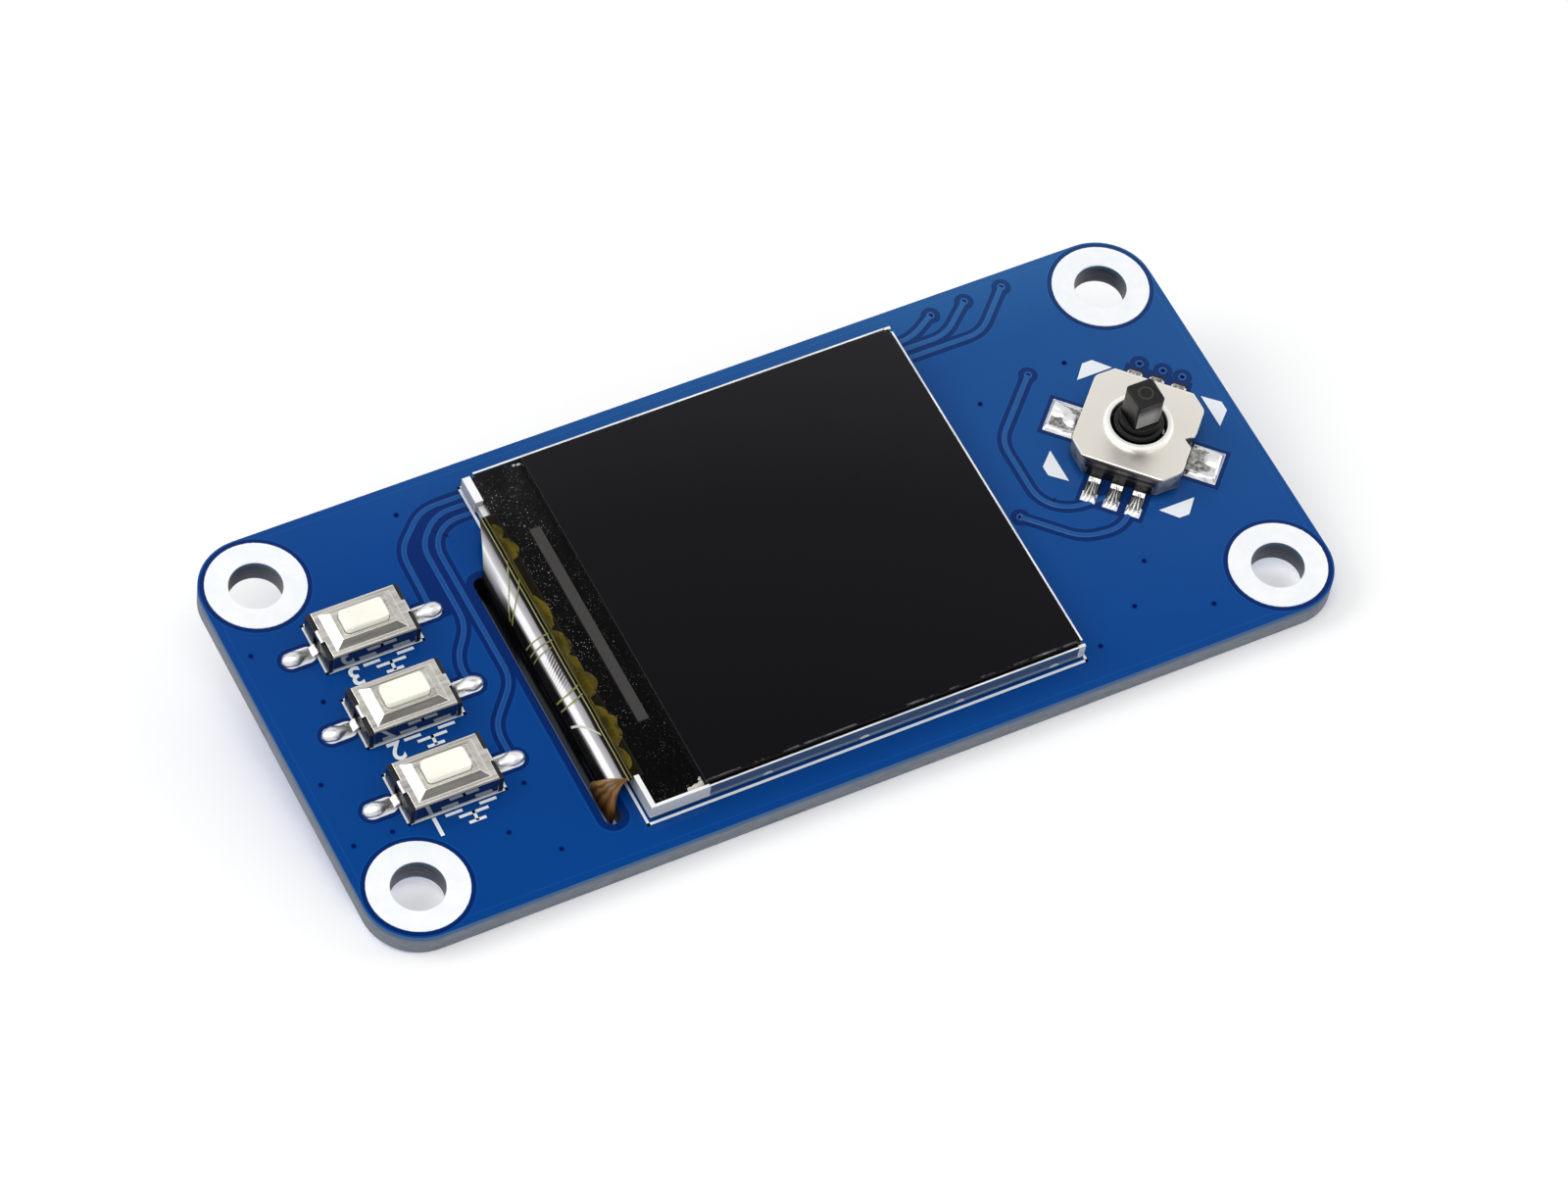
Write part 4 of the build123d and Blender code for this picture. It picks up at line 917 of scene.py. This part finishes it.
reliefSettings = {
    "rimLow": 0.002, "gapLow": 0.010, "raisedLow": 0.032, "raisedRise": 0.022, "step": 0.0004,
    "traceHalf": 0.17, "gapHalf": 0.46, "rimHalf": 0.55, "bend": 1.0,
    "padHalo": 0.28, "rim": 0.08, "viaHalo": 0.62, "viaRing": 0.21, "mouth": 0.15, "mouthHigh": 0.047,
    "viaBead": (0.07, -0.05),
    "slotHalo": (0.24, 0.22), "slotRim": (0.54, 0.06), "edgeRim": (0.50, 0.05), "cornerRadius": 3.5,
    "ringHalo": (3.22, 0.16), "ringRim": (3.43, 0.06), "ringOuter": 3.1,
}
ringHigh = boxOf("mounting_rings")[1]
holeX, holeY = ringHigh.x - reliefSettings["ringOuter"], ringHigh.y - reliefSettings["ringOuter"]
holePlaces = [(sx * holeX, sy * holeY) for sx in (-1, 1) for sy in (-1, 1)]

traceRoutes = [
    # from the display's far-left corner to the three right-hand switch pads
    [(-14.4, 12.65), (-17.6, 12.65), (-19.95, 10.4), (-20.05, 6.0)],
    [(-14.4, 12.0), (-16.9, 12.0), (-18.6, 10.3), (-18.6, 4.0), (-20.2, 1.9), (-20.2, 0.0)],
    [(-14.4, 11.27), (-16.6, 11.27), (-17.85, 10.0), (-17.8, -0.6), (-20.15, -3.3), (-20.15, -5.75)],
    # from its far-right corner to three vias
    [(14.6, 12.55), (16.2, 12.6), (17.95, 13.65)],
    [(14.6, 11.95), (18.2, 11.95), (20.45, 13.8)],
    [(14.6, 11.25), (20.4, 11.25), (23.15, 13.9)],
    # from two vias to the joystick's near leads
    [(21.5, 7.2), (17.6, 3.4), (17.6, -1.4), (19.0, -2.75), (21.6, -2.9)],
    [(16.0, -2.15), (18.9, -5.0), (21.4, -5.3), (23.2, -3.8)],
]

# bare board between the traces, with no copper: middle line and half width
bareStrips = [
    ([(-14.4, 12.4), (-17.3, 12.4), (-19.3, 10.4), (-19.35, 5.0)], 0.75),
    ([(-14.4, 11.6), (-16.8, 11.6), (-18.2, 10.2), (-18.2, 4.4)], 0.6),
]

haloVias = [(21.5, 7.2), (16.0, -2.15), (28.4, 5.25), (29.5, 4.2), (30.4, 3.3),
            (18.0, 13.65), (20.45, 13.8), (23.15, 13.9)]
plainVias = [(17.7, 6.4), (24.05, 7.15), (21.5, -8.0), (19.35, -10.7), (16.05, -12.45), (23.95, -12.45),
             (-28.75, 2.35), (-31.3, -2.9), (-31.35, 7.0), (-31.3, -7.5), (-28.8, -7.5), (-20.25, -7.5),
             (-22.55, -10.25), (-20.2, -12.5), (-19.1, 12.9)]

# solder pads: distance from the part's middle and half sizes
padSettings = {
    "keyAway": 4.12, "keyHalf": (1.1, 0.575), "keyRound": 0.574,
    "leadAway": 4.6, "leadPitch": 1.43, "leadHalf": (0.85, 0.475), "tabAway": 4.58, "tabHalf": (1.25, 1.02),
}


def padOutlines(grow):
    # outlines of the switch and joystick pads, made larger by grow
    s = padSettings
    halfX, halfY = s["keyHalf"]
    keyPad = roundedRectangle(halfX + grow, halfY + grow, s["keyRound"] + grow)
    sides = (-1, 1)
    outlines = [shifted(keyPad, key.x + side * s["keyAway"], key.y) for key in keyMiddles for side in sides]
    pads = [(side * s["leadAway"], row * s["leadPitch"], s["leadHalf"])
            for row in (-1, 0, 1) for side in sides]
    pads += [(0, side * s["tabAway"], s["tabHalf"]) for side in sides]
    for x, y, (halfX, halfY) in pads:
        local = shifted(rectangle(halfX + grow, halfY + grow), x, y)
        outlines.append(turned(local, joyMiddle.x, joyMiddle.y, joyTurn))
    return outlines


def makeRelief():
    s = reliefSettings
    layers = {"rim": ([], []), "gap": ([], []), "raised": ([], [])}
    used = {"rim": 0, "gap": 0, "raised": 0}

    def level(name):
        # every shape gets a height of its own, so crossing shapes never lie in one plane
        used[name] += 1
        return s[name + "Low"] + used[name] * s["step"] * (0.5 if name == "rim" else 1)

    def flatStrip(name, path, half, closed=False):
        z = level(name)
        stripOf(*layers[name], path, [(half, z), (-half, z)], closed=closed)

    def flatPlate(name, outline):
        plateOf(*layers[name], outline, level(name))

    for points in traceRoutes:
        route = roundedPath(points, s["bend"])
        flatStrip("rim", route, s["rimHalf"])
        flatStrip("gap", route, s["gapHalf"])
        low = level("raised")
        half, high = s["traceHalf"], low + s["raisedRise"]
        stripOf(*layers["raised"], route, [(half, low), (half / 2, high), (-half / 2, high), (-half, low)])
    for points, half in bareStrips:
        flatStrip("gap", roundedPath(points, s["bend"]), half)
    slot = slotSettings
    slotMiddle, slotReach = (slot["near"] + slot["far"]) / 2, (slot["far"] - slot["near"]) / 2
    for name, (away, half) in (("rim", s["slotRim"]), ("gap", s["slotHalo"])):
        outline = roundedRectangle(slot["half"] + away, slotReach + away, slot["half"] + away)
        flatStrip(name, shifted(outline, slot["x"], slotMiddle), half, closed=True)
    corner = boxOf("circuit_board")[1]
    inset, half = s["edgeRim"]
    edge = roundedRectangle(corner.x - inset, corner.y - inset, s["cornerRadius"] - inset, 10)
    flatStrip("rim", edge, half, closed=True)
    for x, y in holePlaces:
        for name, (r, half) in (("rim", s["ringRim"]), ("gap", s["ringHalo"])):
            flatStrip(name, circle(x, y, r, 64), half, closed=True)
    for name, grow in (("rim", s["padHalo"] + s["rim"]), ("gap", s["padHalo"])):
        for outline in padOutlines(grow):
            flatPlate(name, outline)
    for x, y in haloVias:
        flatPlate("rim", circle(x, y, s["viaHalo"] + s["rim"]))
        flatPlate("gap", circle(x, y, s["viaHalo"]))
        low = level("raised")
        inner, outer = s["viaBead"]
        stripOf(*layers["raised"], circle(x, y, s["viaRing"]),
                [(inner, low), (0, low + s["raisedRise"]), (outer, low)], closed=True)
    for name, (verts, faces) in layers.items():
        addPiece(f"mask_{name}", verts, faces, "blue_solder_mask", f"mask_{name}")
    verts, faces = [], []
    for x, y in haloVias + plainVias:
        plateOf(verts, faces, circle(x, y, s["mouth"], 16), s["mouthHigh"])
    addPiece("via_mouths", verts, faces, "blue_solder_mask", "via")


makeRelief()


# White ink: outlines, arrow marks, a push-switch sign and a plain numeral beside each switch

inkSettings = {
    "high": 0.062, "line": 0.18, "frameX": (-14.76, 14.74), "frameY": (-13.04, 13.20),
    "keyX": (-3.04, 3.24), "keyY": (-1.70, 1.98), "markShift": 0.2,
    "signX": 0.80, "signY": -2.44, "signLine": 0.2,
    "numeralX": -1.55, "numeralY": -1.90, "numeral": 1.85, "numeralBold": 0.035,
}
arrowMark = [(-1.25, 5.35), (1.25, 5.35), (0.35, 6.35), (-0.35, 6.35)]
# the sign's strokes, from x, y to x, y: two leads, the bridge above them, the plunger and its head
signStrokes = [(-1.55, 0.42, -0.66, 0.42), (0.66, 0.42, 1.55, 0.42), (-0.85, 0.02, 0.85, 0.02),
               (0, 0.02, 0, -0.5), (-0.45, -0.55, 0.45, -0.55)]


def makeInk():
    s = inkSettings
    verts, faces = [], []

    def line(a, b, width):
        a, b = Vector(a), Vector(b)
        over = (b - a).normalized() * width / 2
        stripOf(verts, faces, [a - over, b + over], [(width / 2, s["high"]), (-width / 2, s["high"])])

    def loop(x0, x1, y0, y1):
        corners = [(x0, y0), (x1, y0), (x1, y1), (x0, y1), (x0, y0)]
        for a, b in zip(corners, corners[1:]):
            line(a, b, s["line"])

    loop(*s["frameX"], *s["frameY"])
    for key in keyMiddles:
        loop(key.x + s["keyX"][0], key.x + s["keyX"][1], key.y + s["keyY"][0], key.y + s["keyY"][1])
        # the sign reads from the board's far side, as the numeral does
        x, y = key.x + s["signX"], key.y + s["signY"]
        for ax, ay, bx, by in signStrokes:
            line((x + ax, y + ay), (x + bx, y + by), s["signLine"])
    for quarter in range(4):
        mark = turned(arrowMark, joyMiddle.x + s["markShift"], joyMiddle.y + s["markShift"], 90 * quarter)
        plateOf(verts, faces, mark, s["high"])
    addPiece("ink_outlines", verts, faces, "blue_solder_mask", "ink")
    for number, key in enumerate(keyMiddles, start=1):
        curve = bpy.data.curves.new(f"numeral_{number}", "FONT")
        curve.body = str(number)
        curve.size = s["numeral"] * mm
        curve.offset = s["numeralBold"] * mm
        curve.align_x = "CENTER"
        curve.materials.append(paint["ink"])
        numeral = addObject(f"numeral_{number}", curve)
        place = (key.x + s["numeralX"], key.y + s["numeralY"], boardHigh + s["high"])
        numeral.location = Vector(place) * mm
        numeral.rotation_euler = (0, 0, math.pi)
        toBoard(numeral)


makeInk()


# Ragged tin on the rings and the plated wall of each hole

ringSettings = {"inner": 1.72, "outer": 3.07, "ragged": 0.05, "wavy": 0.03, "high": 0.058, "low": 0.004,
                "wall": 1.66, "points": 120, "wallPoints": 64}


def makeRings():
    s = ringSettings
    dice = random.Random(5)
    tin, walls = [], []

    def ring(x, y, r, height, count):
        points = [(px, py, height) for px, py in circle(x, y, r, count)]
        return points + points[:1]

    for x, y in holePlaces:
        outer = []
        for px, py in circle(0, 0, 1, s["points"]):
            wave = noise.noise(Vector((px * 4 + x, py * 4, y)))
            r = s["outer"] + s["ragged"] * (dice.random() - 0.5) + s["wavy"] * wave
            outer.append((x + px * r, y + py * r, boardHigh + s["high"]))
        tin.append([outer + outer[:1], ring(x, y, s["inner"], boardHigh + s["high"], s["points"]),
                    ring(x, y, s["wall"], boardHigh + s["low"], s["points"])])
        walls.append([ring(x, y, s["wall"], z, s["wallPoints"]) for z in (boardHigh, 0)])
    addSheets("ring_tin", tin, "tinned_copper", smooth=False)
    addSheets("hole_plating", walls, "tinned_copper", "plating")


makeRings()
print("relief, ink and rings made")


# Solder: rounded drops on the switch leads, ridged ones on the joystick leads, rough ones on its tabs

solderSettings = {
    "foot": 0.05, "uneven": 0.05,
    "keyStart": 3.34, "keyEnd": 5.28, "keyHalf": 0.53, "keyHigh": 0.47,
    "leadStart": 3.80, "leadEnd": 5.40, "leadFarEnd": 5.15, "leadHalf": 0.48, "leadHigh": 0.50,
    "leadPitch": 1.43,
    "tabStart": 3.60, "tabEnd": 5.58, "tabHalf": 1.20, "tabHigh": 0.34,
}


def placedSheet(middle, degrees, along, across, pointAt):
    return [placed(row, middle.x, middle.y, degrees) for row in surface(along, across, pointAt)]


def makeKeySolder():
    s = solderSettings

    def drop(key, side):
        def pointAt(t, around):
            turn = math.pi * around
            x = s["keyStart"] + t * (s["keyEnd"] - s["keyStart"])
            close = max(0.0, 1 - abs(2 * t - 1) ** 2.6) ** 0.5
            swell = 0.62 + 0.38 * smoothStep(t, 0.15, 0.6)
            rough = 1 + 1.6 * s["uneven"] * noise.noise(Vector((x * 1.6 + key.y, turn * 0.9, side + key.y)))
            wide, high = [size * close * swell * rough for size in (s["keyHalf"], s["keyHigh"])]
            return x, math.cos(turn) * wide, s["foot"] + math.sin(turn) * high
        return placedSheet(key, side, 30, 22, pointAt)

    drops = [drop(key, side) for key in keyMiddles for side in (0, 180)]
    joints = addSheets("switch_solder", drops, "solder")
    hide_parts("key_solder_joints")


def makeJoystickSolder():
    s = solderSettings

    def leadDrop(lead, side):
        def pointAt(t, share):
            q = 2 * share - 1
            end = s["leadFarEnd"] if side == joyTurn else s["leadEnd"]
            x = s["leadStart"] + t * (end - s["leadStart"])
            high = s["leadHigh"] * smoothStep(t, 0.0, 0.08) * (1 - 0.62 * t) * (1 - t ** 8) ** 0.7
            half = s["leadHalf"] * (0.52 + 0.48 * smoothStep(t, 0.25, 0.9))
            ridges = 0.66 + 0.34 * math.cos(3.4 * math.pi * q + 1.1 * lead)
            rough = 1 + 7 * s["uneven"] * noise.noise(Vector((x * 1.2, q * 3.5 + 7 * lead, side)))
            z = high * (1 - abs(q) ** 3.2) * ridges * rough
            return x, lead * s["leadPitch"] + q * half, s["foot"] + z
        return placedSheet(joyMiddle, side, 22, 26, pointAt)

    def tabDrop(side):
        def pointAt(t, share):
            q = 2 * share - 1
            edge = (1 - abs(q) ** 9) * (1 - abs(2 * t - 1) ** 11)
            spot = Vector((q * 1.1, t * 1.3 + side, 3.1))
            rough = 0.72 + 0.75 * noise.noise(spot) + 0.22 * noise.noise(spot * 2.7)
            ragged = 1 + 0.09 * noise.noise(Vector((t * 3.1, side, 3 * q)))
            y = s["tabStart"] + t * (s["tabEnd"] - s["tabStart"])
            return q * s["tabHalf"] * ragged, y, s["foot"] + s["tabHigh"] * edge * rough
        return placedSheet(joyMiddle, side, 34, 40, pointAt)

    sides = (joyTurn, joyTurn + 180)
    drops = [leadDrop(lead, side) for lead in (-1, 0, 1) for side in sides]
    joints = addSheets("joystick_solder", drops + [tabDrop(side) for side in sides], "solder")
    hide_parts("joystick_solder_joints")


cornerSettings = {"halfU": 3.62, "halfV": 3.52, "cut": 1.12, "overlap": 0.25, "inside": 0.07,
                  "low": 0.4, "high": 1.80}


def makeCoverCorners():
    # walls bent down at the joystick cover's cut corners
    s = cornerSettings
    verts, faces = [], []
    u, v = s["halfU"], s["halfV"]
    outside = [(u, v - s["cut"] - s["overlap"]), (u, v - s["cut"]),
               (u - s["cut"], v), (u - s["cut"] - s["overlap"], v)]
    outline = outside + shifted(outside, -s["inside"], -s["inside"])[::-1]
    count = len(outline)
    for signU, signV in ((-1, -1), (-1, 1), (1, -1), (1, 1)):
        start = len(verts)
        for z in (s["low"], s["high"]):
            ring = [(signU * u, signV * v, z) for u, v in outline]
            verts += placed(ring, joyMiddle.x, joyMiddle.y, joyTurn)
        for n in range(count):
            m = (n + 1) % count
            quad = (start + n, start + m, start + count + m, start + count + n)
            faces.append(quad if signU * signV > 0 else quad[::-1])
        faces += [tuple(range(start, start + count)), tuple(range(start + count, start + 2 * count))]
    # the corner walls are painted darker grey than the cover's top: a painted reflection
    addPiece("cover_corner_walls", verts, faces, "nickel_sheet", "corner_steel")


# little pale crumbs where the display's glass meets its frame: x, y and size in mm
crumbs = [(-10.92, -12.30, 0.26), (-11.15, -12.42, 0.22), (-11.45, -12.46, 0.26), (-11.8, -12.50, 0.2),
          (-10.95, -12.02, 0.16), (-10.75, -12.44, 0.18), (-11.1, 12.62, 0.11), (-11.4, 12.68, 0.09)]
crumbSettings = {"uneven": 0.5, "flatten": (1.25, 0.8, 0.5), "lift": 0.04}


def makeCrumbs():
    s = crumbSettings
    dice = random.Random(11)
    middleZ = boxOf("lcd_array_glass")[1].z + s["lift"]
    mesh = bmesh.new()
    for x, y, size in crumbs:
        ball = bmesh.ops.create_icosphere(mesh, subdivisions=2, radius=size * mm)["verts"]
        lean = Vector((dice.random(), dice.random(), dice.random())) * 9
        for vert in ball:
            swell = 1 + s["uneven"] * noise.noise(vert.co.normalized() * 1.5 + lean)
            vert.co = vert.co * swell * Vector(s["flatten"]) + Vector((x, y, middleZ)) * mm
    data = bpy.data.meshes.new("display_crumbs")
    mesh.to_mesh(data)
    mesh.free()
    data.materials.append(paint["crumb"])
    toBoard(addObject("display_crumbs", data))


makeKeySolder()
makeJoystickSolder()
makeCoverCorners()
makeCrumbs()
print("solder made")


# Ribbon: bonded to the glass, over a bulge, down through the slot and under the board

ribbonSettings = {
    "bond": 0.3, "bulge": 1.3, "return": 0.5, "thick": 0.1, "near": -10.5, "far": 9.9, "tailFar": 6.6,
    "taperFrom": -15.0, "taperTo": -16.23, "crease": 0.035, "columns": 90, "lean": 0.16,
    "bendFrom": 0.3, "bendTo": 0.8, "tailFrom": 0.9,
}


def ribbonPath():
    # places along the ribbon's middle line: x, height above the board's top, share of the colour ramp
    s = ribbonSettings
    low, high = boxOf("lcd_flex")
    half = s["thick"] / 2
    bondX = boxOf("lcd_array_glass")[0].x + s["bond"]
    topZ, tailZ = high.z - half - boardHigh, low.z + half - boardHigh
    dropX, tailX = low.x + half, high.x
    bulge, back = s["bulge"], s["return"]
    bendFrom, bendTo, tailFrom = s["bendFrom"], s["bendTo"], s["tailFrom"]
    path = [(bondX + (dropX + bulge - bondX) * k / 8, topZ, bendFrom * k / 8) for k in range(8)]
    for k in range(25):
        turn = math.pi / 2 * k / 24
        path.append((dropX + bulge - bulge * math.sin(turn), topZ - bulge + bulge * math.cos(turn),
                     bendFrom + (bendTo - bendFrom) * k / 24))
    drop = tailZ + back - topZ + bulge
    path += [(dropX - s["lean"] * k / 6, topZ - bulge + drop * k / 6, bendTo + (tailFrom - bendTo) * k / 6)
             for k in range(1, 6)]
    dropX -= s["lean"]
    for k in range(9):
        turn = math.pi / 2 * k / 8
        path.append((dropX + back - back * math.cos(turn), tailZ + back - back * math.sin(turn),
                     tailFrom + 0.05 * k / 8))
    path += [(dropX + back + (tailX - dropX - back) * k / 6, tailZ, 1.0) for k in range(1, 7)]
    return path


def addStripMap(piece, shares, columns):
    layer = piece.data.uv_layers.new(name="strip")
    for loop in piece.data.loops:
        row, column = divmod(loop.vertex_index, columns)
        layer.data[loop.index].uv = (shares[row], column / (columns - 1))


def thicken(piece, thick):
    skin = piece.modifiers.new("thickness", "SOLIDIFY")
    skin.thickness = thick * mm
    skin.offset = 0


def makeRibbon():
    s = ribbonSettings
    path = ribbonPath()
    rows = []
    for x, z, share in path:
        taper = min(1.0, max(0.0, (s["taperFrom"] - x) / (s["taperFrom"] - s["taperTo"])))
        far = s["far"] + (s["tailFar"] - s["far"]) * (taper if share < s["bendTo"] else 1.0)
        lift = s["crease"] if s["bendFrom"] < share < s["bendTo"] else 0.0
        row = []
        for n in range(s["columns"]):
            y = s["near"] + (far - s["near"]) * n / (s["columns"] - 1)
            wave = lift * noise.noise(Vector((share * 5, y * 0.55, 2.0)))
            row.append((x - wave, y, boardHigh + z + wave))
        rows.append(row)
    ribbon = addSheets("display_ribbon", [rows], "flex_film")
    addStripMap(ribbon, [share for x, z, share in path], s["columns"])
    thicken(ribbon, s["thick"] * 0.9)
    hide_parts("lcd_flex")


def alongRibbon(path, share, y, out=0.0):
    # the place on the ribbon's path at a share of its tone ramp, moved out from its surface
    for (x0, z0, s0), (x1, z1, s1) in zip(path, path[1:]):
        if s0 <= share <= s1 and s1 > s0:
            t = (share - s0) / (s1 - s0)
            along = Vector((x1 - x0, 0, z1 - z0)).normalized()
            x, z = x0 + (x1 - x0) * t, z0 + (z1 - z0) * t
            return Vector((x + along.z * out, y, boardHigh + z - along.x * out))
    return None


# lines across the ribbon, printed traces and painted highlight glints: share and y where each starts and
# ends, bow, half width
ribbonLines = {
    "ribbonTrace": [(0.24, 0.73, 0.66, 0.61, 0.0, 0.05), (0.24, 0.22, 0.66, 0.04, 0.0, 0.05),
                    (0.31, -0.25, 0.66, -0.45, 0.0, 0.04), (0.24, -3.30, 0.66, -3.60, 0.15, 0.06),
                    (0.24, -3.95, 0.66, -4.20, 0.15, 0.06), (0.24, 6.43, 0.66, 2.86, 0.2, 0.09),
                    (0.22, 4.93, 0.66, 2.56, 0.2, 0.07)],
    "ribbonGlint": [(0.31, -6.95, 0.64, -5.45, -0.25, 0.09), (0.30, 6.0, 0.60, 3.4, 0.2, 0.03)],
}
lineSettings = {"out": 0.07, "thick": 0.004, "steps": 14}


def makeRibbonLines():
    s = lineSettings
    path = ribbonPath()
    for name, lines in ribbonLines.items():
        sheets = []
        for share0, y0, share1, y1, bow, half in lines:
            def pointAt(t, side):
                y = y0 + (y1 - y0) * t - bow * math.sin(math.pi * t)
                share = share0 + (share1 - share0) * t
                return tuple(alongRibbon(path, share, y + half * (2 * side - 1), s["out"]))
            sheets.append(surface(s["steps"], 1, pointAt))
        thicken(addSheets(name, sheets, "flex_film", name, smooth=False), s["thick"])


amberSettings = {"near": -11.75, "from": 0.29, "reach": 0.58, "inside": 0.1, "widen": 1.6, "overlap": 0.02,
                 "out": 0.075, "flare": 0.22, "sag": 0.16, "thick": 0.03, "rows": 30, "columns": 15}


def makeAmberEnd():
    # the ribbon's near end shows its bare amber film, which flares down into the slot
    s = amberSettings
    path = ribbonPath()
    near = ribbonSettings["near"]

    def pointAt(down, t):
        share = s["from"] + s["reach"] * down
        reach = smoothStep(share, s["from"], ribbonSettings["bendTo"])
        inner = near + s["inside"] + s["widen"] * down
        outer = near - s["overlap"] + (s["near"] - near) * reach
        place = alongRibbon(path, share, inner + (outer - inner) * t, s["out"])
        place.x -= 0.8 * s["flare"] * reach * math.sin(math.pi * min(1.0, 0.2 + 0.8 * t))
        place.z -= s["sag"] * reach * t * t
        return tuple(place)

    rows = surface(s["rows"], s["columns"], pointAt)
    film = addSheets("ribbon_amber_end", [rows], "flex_film", "amberFilm")
    addStripMap(film, [k / s["rows"] for k in range(s["rows"] + 1)], s["columns"] + 1)
    thicken(film, s["thick"])


# drops of sealing glue over the ribbon's end: middle y, half length and reach of each drop
glueDrops = [(8.6, 0.55, 0.40), (7.2, 0.85, 0.78), (2.25, 1.3, 0.50), (-0.2, 1.0, 0.64),
             (-2.0, 0.9, 0.58), (-3.3, 1.05, 0.94), (-6.55, 1.5, 0.76), (-9.0, 0.75, 0.34)]
glueSettings = {"inner": -14.62, "bead": 0.14, "near": -9.85, "far": 9.15, "rise": 0.10, "ribbonTop": 1.352,
                "uneven": 0.25, "step": 0.05, "rows": 299, "columns": 12}


def makeGlue():
    s = glueSettings
    low, high = boxOf("lcd_array_glass")
    glassTop = high.z - boardHigh
    ribbonEnd = low.x + ribbonSettings["bond"]

    def pointAt(down, t):
        y = s["near"] + (s["far"] - s["near"]) * down
        reach = 0.0
        for middle, half, most in glueDrops:
            if abs(y - middle) < half:
                reach = max(reach, most * (1 - ((y - middle) / half) ** 2) ** 0.6)
        reach *= 1 + s["uneven"] * noise.noise(Vector((y * 1.7, 0, 5)))
        outer = s["inner"] + s["bead"] + reach
        onGlass = smoothStep(outer, ribbonEnd - s["step"], ribbonEnd + s["step"])
        bead = s["rise"] * math.sin(math.pi * t) ** 0.6
        z = s["ribbonTop"] + (glassTop - s["ribbonTop"]) * onGlass * t + bead
        return s["inner"] + (outer - s["inner"]) * t, y, boardHigh + z

    glue = addSheets("sealing_glue", [surface(s["rows"], s["columns"], pointAt)], "amber_glue")
    addStripMap(glue, [k / s["rows"] for k in range(s["rows"] + 1)], s["columns"] + 1)
    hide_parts("lcd_glue")


makeRibbon()
makeRibbonLines()
makeAmberEnd()
makeGlue()
print("ribbon made")
